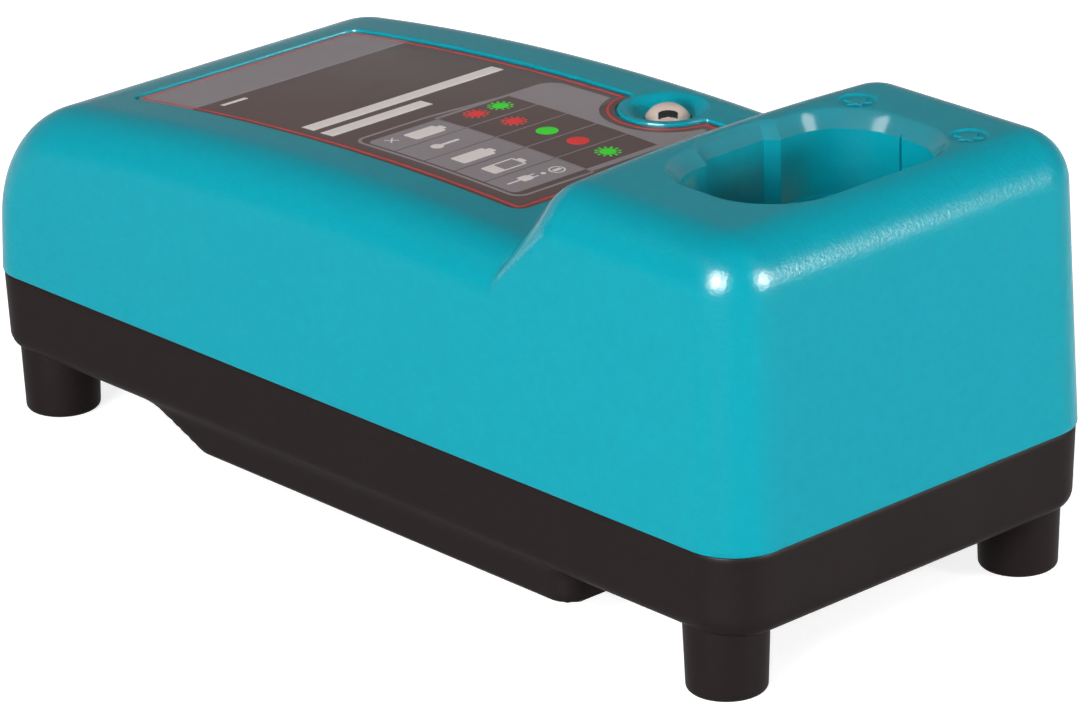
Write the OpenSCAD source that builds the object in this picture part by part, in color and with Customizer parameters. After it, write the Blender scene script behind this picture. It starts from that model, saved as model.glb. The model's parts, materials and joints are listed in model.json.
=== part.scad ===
// Battery charger: a two-part casing with a raised battery pod, its power board and its sprung contacts.
// Millimetres. X runs from the cord end to the pod end, Y across, Z up from the floor under the feet.

/* [Casing] */
// Length of the casing at the joint between the shells
body_l = 226; // [216:1:250]
// Width of the casing at the joint between the shells
body_w = 100; // [98:1:120]
// Height of the pod's flat top above the floor
total_h = 91.4; // [89:0.2:100]
// Height of the joint between the shells
seam_z = 31; // [29:1:34]
// Height of the lower shell's underside, which is the feet's length
base_z = 13.8; // [13:0.2:16]
// Height of the deck's crown
deck_h = 76.6; // [75:0.1:79]
// Radius of the deck's arch along the casing
deck_arch_r = 720; // [600:10:1200]
// Distance of the deck's crown from the pod end
crown_gap = 103; // [95:1:110]
// Corner radius of the casing seen from above
plan_r = 11; // [10:0.5:15]
// Edge radius along the deck's sides
edge_r = 11; // [8:0.5:12]
// Edge radius round the pod's top
pod_edge_r = 11; // [8:0.5:12]
// Edge radius where the deck turns down at the cord end
tail_r = 28; // [18:1:30]
// Lean of the walls
side_draft = 1.7; // [1:0.1:4]
// Length of the pod's flat top with the edge at the pod end
pod_l = 48.5; // [47:0.5:52]
// Slope of the step from the deck up to the pod
step_angle = 60; // [50:1:70]
// Bow of the step's crest towards the cord end, across the casing
step_bow = 2; // [0:0.5:4]
// Wall thickness of both shells
wall = 2.5; // [2:0.1:3]

/* [Sump under the lower shell] */
// Drop of the sump below the lower shell
sump_drop = 7.2; // [6:0.2:9]
// Length of the sump's flat floor
sump_l = 110; // [106:0.5:112]
// Length of the ramp at the sump's cord end
sump_ramp = 16; // [10:1:20]
// Width of the sump
sump_w = 95; // [93:0.5:96]
// Distance of the sump from the pod end
sump_gap = 48.5; // [48:0.5:52]
// Corner radius of the sump at the pod end
sump_r = 5; // [3:0.5:8]
// Number of slots in each row of vents
vent_count = 9; // [5:1:11]
// Width of a vent slot
vent_w = 2.4; // [1.6:0.2:3]
// Length of a vent slot
vent_l = 16; // [10:1:20]

/* [Feet and casing screws] */
// Distance of a foot's axis from the end of the casing
foot_gap_x = 12.5; // [12:0.5:14]
// Distance of a foot's axis from the side of the casing
foot_gap_y = 10; // [10:0.5:12]
// Diameter of a foot where it meets the shell
foot_top_d = 16.8; // [16.6:0.2:18]
// Diameter of a foot at the floor
foot_bottom_d = 15.8; // [14:0.2:16]
// Diameter of the well that hides a screw's head
screw_well_d = 7; // [6.6:0.1:8]
// Shank diameter of a casing screw
screw_d = 3; // [2.5:0.5:3.5]
// Length of a casing screw's shank
screw_l = 20; // [16:1:24]

/* [Battery well] */
// Distance of the well's axis from the pod end
well_gap = 30.1; // [29.5:0.1:31]
// Width of the well along the casing
well_l = 32.2; // [31:0.2:33]
// Distance of the well's ends from the sides of the casing, measured at the joint
well_side_gap = 24.75; // [24:0.25:26]
// Corner radius of the well
well_r = 12.8; // [11:0.2:14]
// Depth of the well
well_depth = 50; // [46:1:52]
// Width of the sloping lead-in round the mouth
lead_w = 2.6; // [2:0.2:3]
// Height of the sloping lead-in
lead_h = 3.3; // [2.5:0.1:4]
// Depth of the ledge, below which the well is narrower
ledge_depth = 16.8; // [14:0.2:18]
// Width of that ledge
ledge_w = 0.8; // [0.4:0.1:1.2]
// Width of the keyway's flat in the well's deck-side wall
key_w = 15.2; // [12:0.2:18]
// Depth of the keyway
key_d = 2.3; // [1:0.1:2.6]
// Distance of the keyway's axis from the casing's middle
key_y = -1; // [-2:0.2:2]
// Wall thickness of the well's sleeve
sleeve_wall = 2; // [1.6:0.1:2.4]

/* [Contacts] */
// Spacing of the three contacts
contact_pitch = 7.4; // [7:0.1:8]
// Width of a contact
contact_w = 3.4; // [2.6:0.2:3.8]
// Thickness of a contact's strip
contact_t = 0.5; // [0.4:0.1:0.7]
// How far a contact stands out into the well
contact_reach = 1.6; // [1:0.1:2]
// Radius of the rolled root that a contact turns on
root_r = 1.1; // [0.9:0.1:1.3]
// Radial clearance of the rolled root in its seat
root_gap = 0.05; // [0.03:0.01:0.1]
// Clearance beside a contact in its slot
slot_gap = 0.4; // [0.3:0.05:0.5]

/* [Deck details] */
// Length of the label
label_l = 118.6; // [112:0.2:120]
// Distance of the label from the sides of the casing, measured at the joint
label_side_gap = 19.8; // [19:0.2:22]
// Thickness of the label
label_t = 0.4; // [0.2:0.1:0.5]
// Distance of the label's pod-side edge from the pod end
label_gap = 78.4; // [78:0.2:82]
// Depth of the recess that the label lies in
recess_depth = 0.9; // [0.6:0.1:1.2]
// Clearance round the label in its recess
label_gap_w = 0.4; // [0.2:0.1:0.8]
// Distance of the status lens from the pod end
lens_gap = 99.6; // [98:0.2:102]
// Distance of the status lens from the side of the casing, measured at the joint
lens_side_gap = 20.2; // [19:0.2:22]
// Diameter of the status lens
lens_d = 9.2; // [7:0.2:10]
// Diameter of the dish round the lens
dish_d = 17; // [15:0.5:18]
// Depth of the dish
dish_depth = 2.2; // [1.5:0.1:2.6]
// Radius of the bite that the label leaves round the dish
bite_r = 10.6; // [10:0.1:11.5]
// Diameter of the two round marks on the pod
mark_d = 8; // [6:0.5:9]
// Spacing of the two round marks
mark_pitch = 29.5; // [28:0.5:31]
// Distance of the round marks from the side of the casing, measured at the joint
mark_side_gap = 21.4; // [20:0.2:22]

/* [Mains inlet] */
// Distance of the cord gland from the cord end
gland_gap = 28; // [26:1:34]
// Bore of the gland, which takes a 7 mm cord
gland_bore_d = 7.2; // [6:0.2:8]
// Diameter of the gland's flanges
gland_d = 15; // [14:0.5:16]
// Length of the gland
gland_l = 10; // [8:0.5:12]

/* [Main board] */
// Clearance between the board and the sump's end walls
board_gap_x = 1.25; // [1:0.25:2]
// Clearance between the board and the sump's side walls
board_gap_y = 3; // [1:0.5:4]
// Thickness of the board
board_t = 1.6; // [1:0.2:2]
// Height of the board above the sump's floor
board_lift = 4.5; // [4:0.5:6]

/* [Hidden] */
$fn = 48;

eps = 0.01;
hull_fn = 32;
pod_end = body_l / 2;
cord_end = -body_l / 2;

// How far the leaning wall has come in at height z, and the half length and half width it leaves
function lean(z) = (z - seam_z) * tan(side_draft);
function half_l(z) = body_l / 2 - lean(z);
function half_w(z) = body_w / 2 - lean(z);

// The deck is an arc in the XZ plane. A polar point of it, a degrees from its crown towards the cord end
crown_x = pod_end - crown_gap;
arch_z = deck_h - deck_arch_r;
function arch_point(a, r) = [crown_x - r * sin(a), 0, arch_z + r * cos(a)];
function deck_z(x) = arch_z + sqrt(pow(deck_arch_r, 2) - pow(x - crown_x, 2));

// Centres of the balls that round the deck's long edges: along the arch, then round the tail
pod_x = pod_end - pod_l;
tail_a = asin((half_l(deck_h - tail_r) - tail_r + crown_x) / (deck_arch_r - tail_r));
tail_centre = arch_point(tail_a, deck_arch_r - tail_r);
arch_a = -asin((pod_x - crown_x) / deck_arch_r);
arch_steps = 6;
tail_steps = 5;
deck_path = concat(
    [for (i = [0 : arch_steps]) arch_point(arch_a + (tail_a - arch_a) * i / arch_steps, deck_arch_r - edge_r)],
    [for (i = [1 : tail_steps]) let (a = tail_a + (90 - side_draft - tail_a) * i / tail_steps)
        tail_centre + (tail_r - edge_r) * [-sin(a), 0, cos(a)]]);

// Centres of the balls that round the pod: two at its end, two at the top of the step, two down its slope
pod_ball_z = total_h - pod_edge_r;
step_run = 30;
pod_path = [[half_l(pod_ball_z) - pod_edge_r, 0, pod_ball_z],
            [pod_x, 0, pod_ball_z],
            [pod_x - step_run * cos(step_angle), 0, pod_ball_z - step_run * sin(step_angle)]];

// Sump and inner floors
sump_z = base_z - sump_drop;
sump_x1 = pod_end - sump_gap;
sump_x0 = sump_x1 - sump_l;
sump_floor = sump_z + wall;
base_floor = base_z + wall;
base_edge_r = 3.2;
lip_h = 2;
lip_t = 1.2;
lip_gap = 0.35;
seam_set_back = 0.3;

// Feet and casing screws
foot_x = body_l / 2 - foot_gap_x;
foot_y = body_w / 2 - foot_gap_y;
foot_round = 1;
screw_seat_z = base_floor + 2.5;
boss_r = screw_d / 2 + 2.5;
boss_z = screw_seat_z + 4;
boss_tops = [deck_z(-foot_x) - 8.5, total_h - pod_edge_r + 2];
rib_z = seam_z + lip_h + 1;
rib_top = rib_z + 16;
rib_t = 1.6;
thread_gap = 0.05;
screw_head_h = 2.4;

// Well
well_x = pod_end - well_gap;
well_floor = total_h - well_depth;
ledge_z = total_h - ledge_depth;
key_bevel = key_d;
groove_w = 0.6;
well_w = body_w - 2 * well_side_gap;
low_l = well_l - 2 * ledge_w;
low_w = well_w - 2 * ledge_w;
low_r = well_r - ledge_w;
// Y of the narrow part's end wall, dx away from the well's middle
function well_end_y(dx) = low_w / 2 - low_r + sqrt(pow(low_r, 2) - pow(max(0, abs(dx) - low_l / 2 + low_r), 2));

// Terminal block behind the window in the well's end wall
window_w = 3 * contact_pitch + 1;
window_z0 = well_floor + 5;
block_gap = 0.3;
block_z0 = window_z0 + block_gap;
block_z1 = ledge_z - block_gap;
block_back = well_w / 2 + 9.5;
shelf_back = block_back + 6.5;
shelf_t = 4;
block_screw_dx = 8.5;
block_screw_y = block_back + 3;
block_screw_d = 2.2;
root_z = block_z0 + 3.4;
root_back = 6;
root_seat_top = root_z + 1.2;
// Contact strip in the YZ plane, from its rolled root: how far back from the bow, and how far up
contact_line = [[root_back, 0], [root_back - 1.6, 7], [0.9, 13.6], [0.25, 15], [0, 16],
                [0.25, 17], [0.9, 18.4], [3.6, 21.5]];
tab_w = 2.5;
tab_t = 0.8;
tab_out = 4;

// Deck details
label_x1 = pod_end - label_gap;
label_mid = label_x1 - label_l / 2;
label_w = body_w - 2 * label_side_gap;
label_r = 2.5;
lens_x = pod_end - lens_gap;
lens_y = body_w / 2 - lens_side_gap;
lens_deck_z = deck_z(lens_x);
dish_z = lens_deck_z - dish_depth;
lens_seat_z = dish_z - wall;
lens_flange = 1.2;
lens_fit = 0.1;
lamp_r = 2.5;
lamp_board_z = lens_seat_z - 9;
lamp_board_t = 1.2;
lamp_board_l = 26;
lamp_board_w = 10;
lamp_screw_dx = 9.6;
lamp_screw_d = 2;
mark_depth = 0.6;
mark_y = body_w / 2 - mark_side_gap;

// Mains inlet
gland_x = cord_end + gland_gap;
gland_face_y = body_w / 2 - 0.3;
gland_flange = 1.1;
gland_wall_y = body_w / 2 - wall - seam_set_back;
gland_neck_r = gland_d / 2 - 2;
clamp_y = gland_face_y - gland_l - 6;
clamp_w = 6;
clamp_dx = 8;
pillar_r = 3.2;
clamp_seat_z = seam_z + 0.5;
clamp_h = 4.5;
clamp_screw_d = 2.5;
clamp_screw_l = 9;

// Board
board_l = sump_l - 2 * (wall + board_gap_x);
board_w = sump_w - 2 * (wall + board_gap_y);
board_x = (sump_x0 + sump_x1) / 2 - 0.7;
board_z0 = sump_floor + board_lift;
board_top = board_z0 + board_t;
post_x = board_l / 2 - 4;
post_y = board_w / 2 - 4;
post_r = 3;
board_screw_d = 2.5;
sheet_t = 0.4;
lead_r = 0.4;
thin_lead_r = 0.3;
thick_lead_r = 0.5;
hole_gap = 0.05;
lead_below = 1.4;

teal = [0, 0.62, 0.68];
near_black = [0.16, 0.14, 0.14];
grey = [0.55, 0.55, 0.57];
ferrite = [0.22, 0.22, 0.24];
copper = [0.75, 0.42, 0.2];
brass = [0.85, 0.68, 0.32];
steel = [0.75, 0.76, 0.78];
board_green = [0.1, 0.42, 0.24];

// ---- Shared shapes ----

// Rectangle with round corners, centred
module round_rect(l, w, r) {
    square([l - 2 * r, w], center = true);
    square([l, w - 2 * r], center = true);
    for (x = [-1, 1], y = [-1, 1])
        translate([x * (l / 2 - r), y * (w / 2 - r)]) circle(r);
}

// Thin slice of the casing's outline at height z, set in by inset
module slice(inset, z) {
    translate([0, 0, z])
        linear_extrude(eps) round_rect(body_l - 2 * inset, body_w - 2 * inset, plan_r - inset, $fn = hull_fn);
}

// Balls of radius r on both sides of the casing along a path of centres that suit balls of ball_r
module edge_balls(path, ball_r, r) {
    for (p = path, s = [-1, 1])
        translate([p.x, s * (half_w(p.z) - ball_r), p.z]) sphere(r, $fn = hull_fn);
}

// Row of balls across the casing that bows towards the cord end
module bowed_balls(p, ball_r, r) {
    for (t = [-0.75 : 0.25 : 0.75])
        translate([p.x - step_bow * (1 - t * t), t * (half_w(p.z) - ball_r), p.z]) sphere(r, $fn = hull_fn);
}

// The casing's form above the joint, set in by inset, with its open side at height z
module casing_form(inset, z) {
    hull() {
        slice(inset, z);
        edge_balls(deck_path, edge_r, edge_r - inset);
    }
    hull() {
        intersection() {
            slice(inset, z);
            translate([pod_path[2].x, -body_w, z - 1]) cube([body_l, 2 * body_w, 2]);
        }
        edge_balls(pod_path, pod_edge_r, pod_edge_r - inset);
        for (p = [pod_path[1], pod_path[2]]) bowed_balls(p, pod_edge_r, pod_edge_r - inset);
    }
}

// Wire through a list of points, with round joints a little thicker than itself
module wire(points, r) {
    for (i = [1 : len(points) - 1]) {
        run = points[i] - points[i - 1];
        len_run = norm(run);
        translate(points[i - 1])
            rotate([0, acos(run.z / len_run), atan2(run.y, run.x)])
                cylinder(h = len_run, r = r, $fn = 24);
        if (i < len(points) - 1)
            translate(points[i]) sphere(r + 0.05, $fn = 24);
    }
}

// Straight leads at the given points, from a height above the board down through it. The board's
// holes are the same leads grown by hole_gap.
module leads(points, top, r, grow = 0) {
    for (p = points)
        translate([p[0], p[1], -board_t - lead_below])
            cylinder(h = board_t + lead_below + top, r = r + grow, $fn = 24);
}

// Pan head screw standing on its head's underside at z = 0, shank upwards
module screw(d, l, head_d, head_h) {
    cylinder(h = l - d / 2, d = d);
    translate([0, 0, l - d / 2]) cylinder(h = d / 2, d1 = d, d2 = d / 2);
    difference() {
        translate([0, 0, -head_h]) cylinder(h = head_h, d = head_d);
        for (a = [0, 90])
            rotate(a) translate([-head_d * 0.32, -head_d * 0.06, -head_h - eps])
                cube([head_d * 0.64, head_d * 0.12, head_h * 0.6]);
    }
}

module at_feet() {
    for (x = [-foot_x, foot_x], y = [-foot_y, foot_y]) translate([x, y, 0]) children();
}

module at_posts() {
    for (x = [-post_x, post_x], y = [-post_y, post_y]) translate([board_x + x, y, 0]) children();
}

// ---- Casing ----

module well_outline(inset) {
    round_rect(well_l - 2 * inset, well_w - 2 * inset, well_r - inset);
}

// The keyway's plan, grown by out: a flat with a bevel on both sides
module key_outline(out) {
    x0 = -well_l / 2;
    flat = key_w / 2 + out * tan(22.5);
    polygon([for (s = [-1, 1], p = s < 0 ? [[x0 + well_r, flat + key_bevel + well_r], [x0 - key_d - out, flat]]
                                         : [[x0 - key_d - out, flat], [x0 + well_r, flat + key_bevel + well_r]])
        [p[0], key_y + s * p[1]]]);
}

// Everything that the battery's stem takes up, from the well's floor out through the mouth
module well_space() {
    translate([well_x, 0, 0]) {
        translate([0, 0, well_floor]) linear_extrude(well_depth) well_outline(ledge_w);
        translate([0, 0, ledge_z]) linear_extrude(ledge_depth) well_outline(0);
        hull() {
            translate([0, 0, total_h - lead_h]) linear_extrude(eps) well_outline(0);
            translate([0, 0, total_h + lead_h]) linear_extrude(eps) well_outline(-2 * lead_w);
        }
        intersection() {
            union() {
                translate([0, 0, ledge_z]) linear_extrude(ledge_depth) key_outline(0);
                hull() {
                    translate([0, 0, total_h - lead_h]) linear_extrude(eps) key_outline(0);
                    translate([0, 0, total_h + lead_h]) linear_extrude(eps) key_outline(2 * lead_w);
                }
            }
            translate([-well_l, -well_w / 2 + well_r / 2, 0])
                cube([well_l, well_w - well_r, total_h + lead_h]);
        }
        translate([-groove_w / 2, 0, ledge_z])
            cube([groove_w, well_w / 2 + groove_w, ledge_depth]);
    }
}

module label_outline(inset) {
    difference() {
        translate([label_mid, 0]) round_rect(label_l - 2 * inset, label_w - 2 * inset, label_r);
        translate([lens_x, lens_y]) circle(bite_r + inset);
    }
}

// The part of the deck's crown that is deeper than depth, as a long cylinder across the casing
module under_deck(depth) {
    translate([crown_x, -body_w, arch_z]) rotate([-90, 0, 0])
        cylinder(h = 2 * body_w, r = deck_arch_r - depth, $fn = 360);
}

module upper_casing() {
    color(teal) difference() {
        union() {
            difference() {
                casing_form(0, seam_z);
                casing_form(wall, seam_z - eps);
            }
            // Sleeve and floor of the battery well
            translate([well_x, 0, well_floor - sleeve_wall])
                linear_extrude(total_h - wall / 2 - well_floor + sleeve_wall)
                    round_rect(well_l + 2 * (sleeve_wall + key_d), well_w + 2 * sleeve_wall, well_r);
            // Bosses for the casing screws
            for (i = [0, 1], y = [-foot_y, foot_y])
                translate([(2 * i - 1) * foot_x, y, boss_z])
                    cylinder(h = boss_tops[i] - boss_z, r = boss_r);
            // Ribs that tie the bosses to the walls
            for (x = [-1, 1], y = [-1, 1]) mirror([x < 0 ? 1 : 0, 0, 0]) mirror([0, y < 0 ? 1 : 0, 0]) {
                translate([foot_x - rib_t / 2, foot_y, rib_z])
                    cube([rib_t, half_w(rib_top) - wall / 2 - foot_y, rib_top - rib_z]);
                translate([foot_x, foot_y - rib_t / 2, rib_z])
                    cube([half_l(rib_top) - wall / 2 - foot_x, rib_t, rib_top - rib_z]);
            }
            // Ring that thickens the deck under the dish
            translate([lens_x, lens_y, lens_seat_z])
                cylinder(h = dish_depth + wall / 2, r = dish_d / 2 + 1);
            // Posts for the lamp's board and for the terminal block
            for (s = [-1, 1]) {
                translate([lens_x + s * lamp_screw_dx, lens_y, lamp_board_z + lamp_board_t])
                    cylinder(h = lens_seat_z + wall - lamp_board_z, r = lamp_screw_d + 0.4);
                translate([well_x + s * block_screw_dx, block_screw_y, block_z1])
                    cylinder(h = total_h - wall / 2 - block_z1, r = block_screw_d + 0.8);
            }
        }
        well_space();
        // Window for the terminal block
        translate([well_x - window_w / 2, 0, window_z0])
            cube([window_w, well_w / 2 + sleeve_wall + 1, ledge_z - window_z0]);
        // Recess for the label
        difference() {
            translate([0, 0, deck_h - 20]) linear_extrude(30) label_outline(-label_gap_w);
            under_deck(recess_depth);
        }
        // Dish and seat of the lens
        translate([lens_x, lens_y, dish_z])
            cylinder(h = dish_depth + eps, r1 = lens_d / 2 + 1.4, r2 = dish_d / 2);
        translate([lens_x, lens_y, lens_seat_z - 1])
            cylinder(h = wall + 2, r = lens_d / 2 + lens_fit);
        // Round marks on the pod
        for (s = [-1, 1])
            translate([well_x + s * mark_pitch / 2, mark_y, total_h - mark_depth]) difference() {
                cylinder(h = mark_depth + 1, d = mark_d);
                for (a = [0 : 60 : 120])
                    rotate(a) translate([0, 0, mark_depth / 2 - 0.2])
                        cube([mark_d * 0.62, 1, mark_depth], center = true);
            }
        // Screw holes
        for (x = [-foot_x, foot_x], y = [-foot_y, foot_y])
            translate([x, y, boss_z - eps]) cylinder(h = screw_l, d = screw_d + 2 * thread_gap);
        for (s = [-1, 1]) {
            translate([lens_x + s * lamp_screw_dx, lens_y, lamp_board_z])
                cylinder(h = 7, d = lamp_screw_d + 2 * thread_gap);
            translate([well_x + s * block_screw_dx, block_screw_y, block_z1 - eps])
                cylinder(h = 9, d = block_screw_d + 2 * thread_gap);
        }
        gland_seat();
    }
}

// The stepped hole that the gland fills, half of it in each shell
module gland_seat() {
    translate([gland_x, 0, seam_z]) rotate([-90, 0, 0]) {
        cylinder(h = body_w, r = gland_neck_r);
        translate([0, 0, gland_face_y - gland_flange]) cylinder(h = body_w, d = gland_d);
        cylinder(h = gland_wall_y, d = gland_d);
    }
}

// Thin round-cornered slab with a rounded lower edge, for the lower shell's hulls
module base_puck(inset) {
    r = plan_r - seam_set_back - inset;
    edge = max(base_edge_r - inset, 0.3);
    for (x = [-1, 1], y = [-1, 1])
        translate([x * (half_base_l() - plan_r), y * (half_base_w() - plan_r), base_z + inset])
            rotate_extrude($fn = hull_fn) {
                translate([0, edge]) square([r, eps]);
                square([r - edge, edge]);
                translate([r - edge, edge]) circle(edge, $fn = 24);
            }
}

base_lean = 0.4;
function half_base_l() = body_l / 2 - base_lean;
function half_base_w() = body_w / 2 - base_lean;

module base_form(inset, top) {
    hull() {
        slice(seam_set_back + inset, top);
        base_puck(inset);
    }
}

module sump_slab(x0, x1, w, r, z) {
    translate([(x0 + x1) / 2, 0, z]) linear_extrude(eps) round_rect(x1 - x0, w, r, $fn = hull_fn);
}

module sump_form(inset) {
    hull() {
        sump_slab(sump_x0 - sump_ramp + inset, sump_x1 - inset, sump_w - 2 * inset, sump_r - inset / 2,
                  base_z + inset);
        sump_slab(sump_x0 + inset / 2, sump_x1 - inset, sump_w - 2 * inset - 1, sump_r - inset / 2,
                  sump_z + inset);
    }
}

module lower_casing() {
    color(near_black) difference() {
        union() {
            difference() {
                union() {
                    base_form(0, seam_z - eps);
                    sump_form(0);
                }
                base_form(wall, seam_z);
                sump_form(wall);
                translate([(sump_x0 + sump_x1) / 2, 0, base_z])
                    linear_extrude(wall + 1) round_rect(sump_l - 2 * wall, sump_w - 2 * wall - 1, sump_r);
            }
            // Lip that locates the upper shell
            translate([0, 0, seam_z - 2 * lip_h]) linear_extrude(3 * lip_h) difference() {
                lip_outline(wall + lip_gap);
                lip_outline(wall + lip_gap + lip_t);
            }
            foot_columns();
            at_posts()
                translate([0, 0, sump_floor - 1]) cylinder(h = board_lift + 1, r = post_r);
            cord_saddle();
        }
        at_feet() {
            translate([0, 0, -1]) cylinder(h = screw_seat_z + 1, d = screw_well_d);
            cylinder(h = boss_z + 1, d = screw_d + 0.4);
        }
        at_posts()
            translate([0, 0, sump_floor]) cylinder(h = board_lift + 1, d = board_screw_d + 2 * thread_gap);
        for (row = [-1, 1], i = [0 : vent_count - 1])
            translate([board_x + (i - (vent_count - 1) / 2) * 9 - vent_w / 2,
                       row * sump_w / 5 - vent_l / 2, sump_z - 1])
                cube([vent_w, vent_l, wall + 2]);
        gland_seat();
        clamp_holes();
    }
}

module lip_outline(inset) {
    difference() {
        round_rect(body_l - 2 * inset, body_w - 2 * inset, plan_r - inset);
        // Left open where the gland sits
        translate([gland_x, body_w / 2]) square([gland_d + 2, 30], center = true);
    }
}

module foot_columns() {
    at_feet() {
        translate([0, 0, foot_round]) cylinder(h = base_z, d1 = foot_bottom_d, d2 = foot_top_d);
        rotate_extrude() {
            square([foot_bottom_d / 2 - foot_round, foot_round]);
            translate([foot_bottom_d / 2 - foot_round, foot_round]) intersection() {
                circle(foot_round);
                translate([0, -foot_round]) square(foot_round);
            }
        }
        translate([0, 0, base_z]) cylinder(h = boss_z - base_z, r = boss_r + 1.2);
    }
}

module cord_saddle() {
    for (s = [-1, 1])
        translate([gland_x + s * clamp_dx, clamp_y, base_floor - 1])
            cylinder(h = clamp_seat_z - base_floor + 1, r = pillar_r);
    difference() {
        translate([gland_x - clamp_dx, clamp_y - clamp_w / 2, base_floor - 1])
            cube([2 * clamp_dx, clamp_w, seam_z - base_floor]);
        translate([gland_x, 0, seam_z]) rotate([-90, 0, 0]) cylinder(h = body_w, d = gland_bore_d);
    }
}

module clamp_holes() {
    for (s = [-1, 1])
        translate([gland_x + s * clamp_dx, clamp_y, clamp_seat_z - clamp_screw_l])
            cylinder(h = clamp_screw_l + 1, d = clamp_screw_d + 2 * thread_gap);
}

module casing_screws() {
    color(steel) at_feet()
        translate([0, 0, screw_seat_z]) screw(screw_d, screw_l, screw_well_d - 1, screw_head_h);
}

module label_plate() {
    color([0.37, 0.32, 0.31]) intersection() {
        translate([0, 0, deck_h - 20]) linear_extrude(30) label_outline(0);
        difference() {
            under_deck(recess_depth - label_t);
            under_deck(recess_depth);
        }
    }
}

// ---- Status lamp ----

module status_lens() {
    dome = 1.1;
    r = lens_d / 2;
    ball = (r * r + dome * dome) / (2 * dome);
    color([0.95, 0.82, 0.78]) translate([lens_x, lens_y, 0]) {
        translate([0, 0, lens_seat_z - lens_flange]) cylinder(h = lens_flange, r = r + 1.2);
        translate([0, 0, lens_seat_z]) cylinder(h = wall + 0.4, r = r);
        intersection() {
            translate([0, 0, dish_z + 0.4 + dome - ball]) sphere(ball, $fn = 96);
            translate([0, 0, dish_z + 0.3]) cylinder(h = 2 * dome, r = r);
        }
    }
}

module status_lamp() {
    top = lens_seat_z - lens_flange - 0.5;
    color([0.9, 0.9, 0.85]) translate([lens_x, lens_y, 0]) {
        translate([0, 0, lamp_board_z + lamp_board_t]) cylinder(h = 1, r = lamp_r + 0.4);
        translate([0, 0, lamp_board_z + lamp_board_t])
            cylinder(h = top - lamp_r - lamp_board_z - lamp_board_t, r = lamp_r);
        translate([0, 0, top - lamp_r]) sphere(lamp_r);
        for (x = [-1.27, 1.27])
            translate([x, 0, lamp_board_z - 1.2]) cylinder(h = lamp_board_t + 1.2, r = 0.3);
    }
}

module lamp_board() {
    color(board_green) difference() {
        translate([lens_x - lamp_board_l / 2, lens_y - lamp_board_w / 2, lamp_board_z])
            cube([lamp_board_l, lamp_board_w, lamp_board_t]);
        for (s = [-1, 1])
            translate([lens_x + s * lamp_screw_dx, lens_y, lamp_board_z - 1])
                cylinder(h = 4, d = lamp_screw_d + 0.3);
        for (x = [-1.27, 1.27])
            translate([lens_x + x, lens_y, lamp_board_z - 1]) cylinder(h = 4, r = 0.35);
    }
}

module lamp_board_screws() {
    color(steel) for (s = [-1, 1])
        translate([lens_x + s * lamp_screw_dx, lens_y, lamp_board_z]) screw(lamp_screw_d, 6, 3.8, 1.4);
}

// Three-core lead from the lamp's board straight down to the main board, beside the bulk capacitor
module lamp_lead() {
    x = board_x + at_bulk[0] + bulk_r + 3;
    color([0.85, 0.85, 0.82]) for (i = [-1 : 1])
        translate([x + 1.3 * i, lens_y - 3.6, board_top])
            cylinder(h = lamp_board_z - board_top, r = 0.6);
}

// ---- Main board ----

module main_board() {
    color(board_green) difference() {
        translate([board_x - board_l / 2, -board_w / 2, board_z0]) cube([board_l, board_w, board_t]);
        at_posts() translate([0, 0, board_z0 - 1]) cylinder(h = board_t + 2, d = board_screw_d + 0.4);
        choke_leads(hole_gap);
        device_leads(hole_gap);
        bridge_leads(hole_gap);
        bulk_leads(hole_gap);
        output_leads(hole_gap);
        suppression_leads(hole_gap);
        varistor_leads(hole_gap);
        clip_leads(hole_gap);
        relay_leads(hole_gap);
        chip_leads(hole_gap);
        opto_leads(hole_gap);
        resistor_leads(hole_gap);
        mains_pins(hole_gap);
        output_pins(hole_gap);
    }
}

module board_screws() {
    color(steel) at_posts() translate([0, 0, board_top]) mirror([0, 0, 1]) screw(board_screw_d, 5.5, 4.8, 1.8);
}

module insulating_sheet() {
    color([0.86, 0.84, 0.74]) difference() {
        translate([board_x - board_l / 2, -board_w / 2, sump_floor]) cube([board_l, board_w, sheet_t]);
        at_posts() translate([0, 0, sump_floor - 1]) cylinder(h = 3, r = post_r + 0.3);
        for (row = [-1, 1])
            translate([board_x - vent_count * 9 / 2, row * sump_w / 5 - vent_l / 2, sump_floor - 1])
                cube([vent_count * 9, vent_l, 3]);
    }
}

// Radii of the can capacitors and the gap between the two at the output
bulk_r = 9;
output_cap_r = 6;
can_gap = 1;
suppression_l = 18;
// Distances of the front rows from the board's edge
opto_gap = 4.5;
resistor_gap = 6;

// Places on the board, as shares of its half length and half width from its middle
function spot(u, v) = [u * board_l / 2, v * board_w / 2];
at_transformer = spot(0.24, -0.286);
at_choke = spot(-0.46, 0.214);
at_bulk = spot(-0.12, 0.595);
at_output_caps = [for (s = [-1, 1]) spot(0.86, 0.44) + [0, s * (output_cap_r + can_gap / 2)]];
at_suppression = spot(-0.83, 0.286);
at_varistor = spot(-0.83, 0.714);
at_fuse = spot(-0.52, 0.81);
at_bridge = spot(-0.44, -0.19);
at_primary_sink = spot(-0.44, -0.667);
at_output_sink = spot(0.72, -0.333);
at_relay = spot(0.36, 0.619);
at_chip = spot(0.28, 0.214);
at_opto = [for (u = [0.16, 0.32]) [spot(u, 0)[0], opto_gap - board_w / 2]];
at_resistors = concat([for (u = [-0.1, -0.03, 0.04]) spot(u, 0.214)],
                      [for (u = [0.48, 0.56, 0.64]) [spot(u, 0)[0], resistor_gap - board_w / 2]]);
at_mains_plug = at_suppression - [2.5, suppression_l];
at_output_plug = spot(0.72, 0.881);

module on_board(place) {
    translate([board_x + place[0], place[1], board_top]) children();
}

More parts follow.
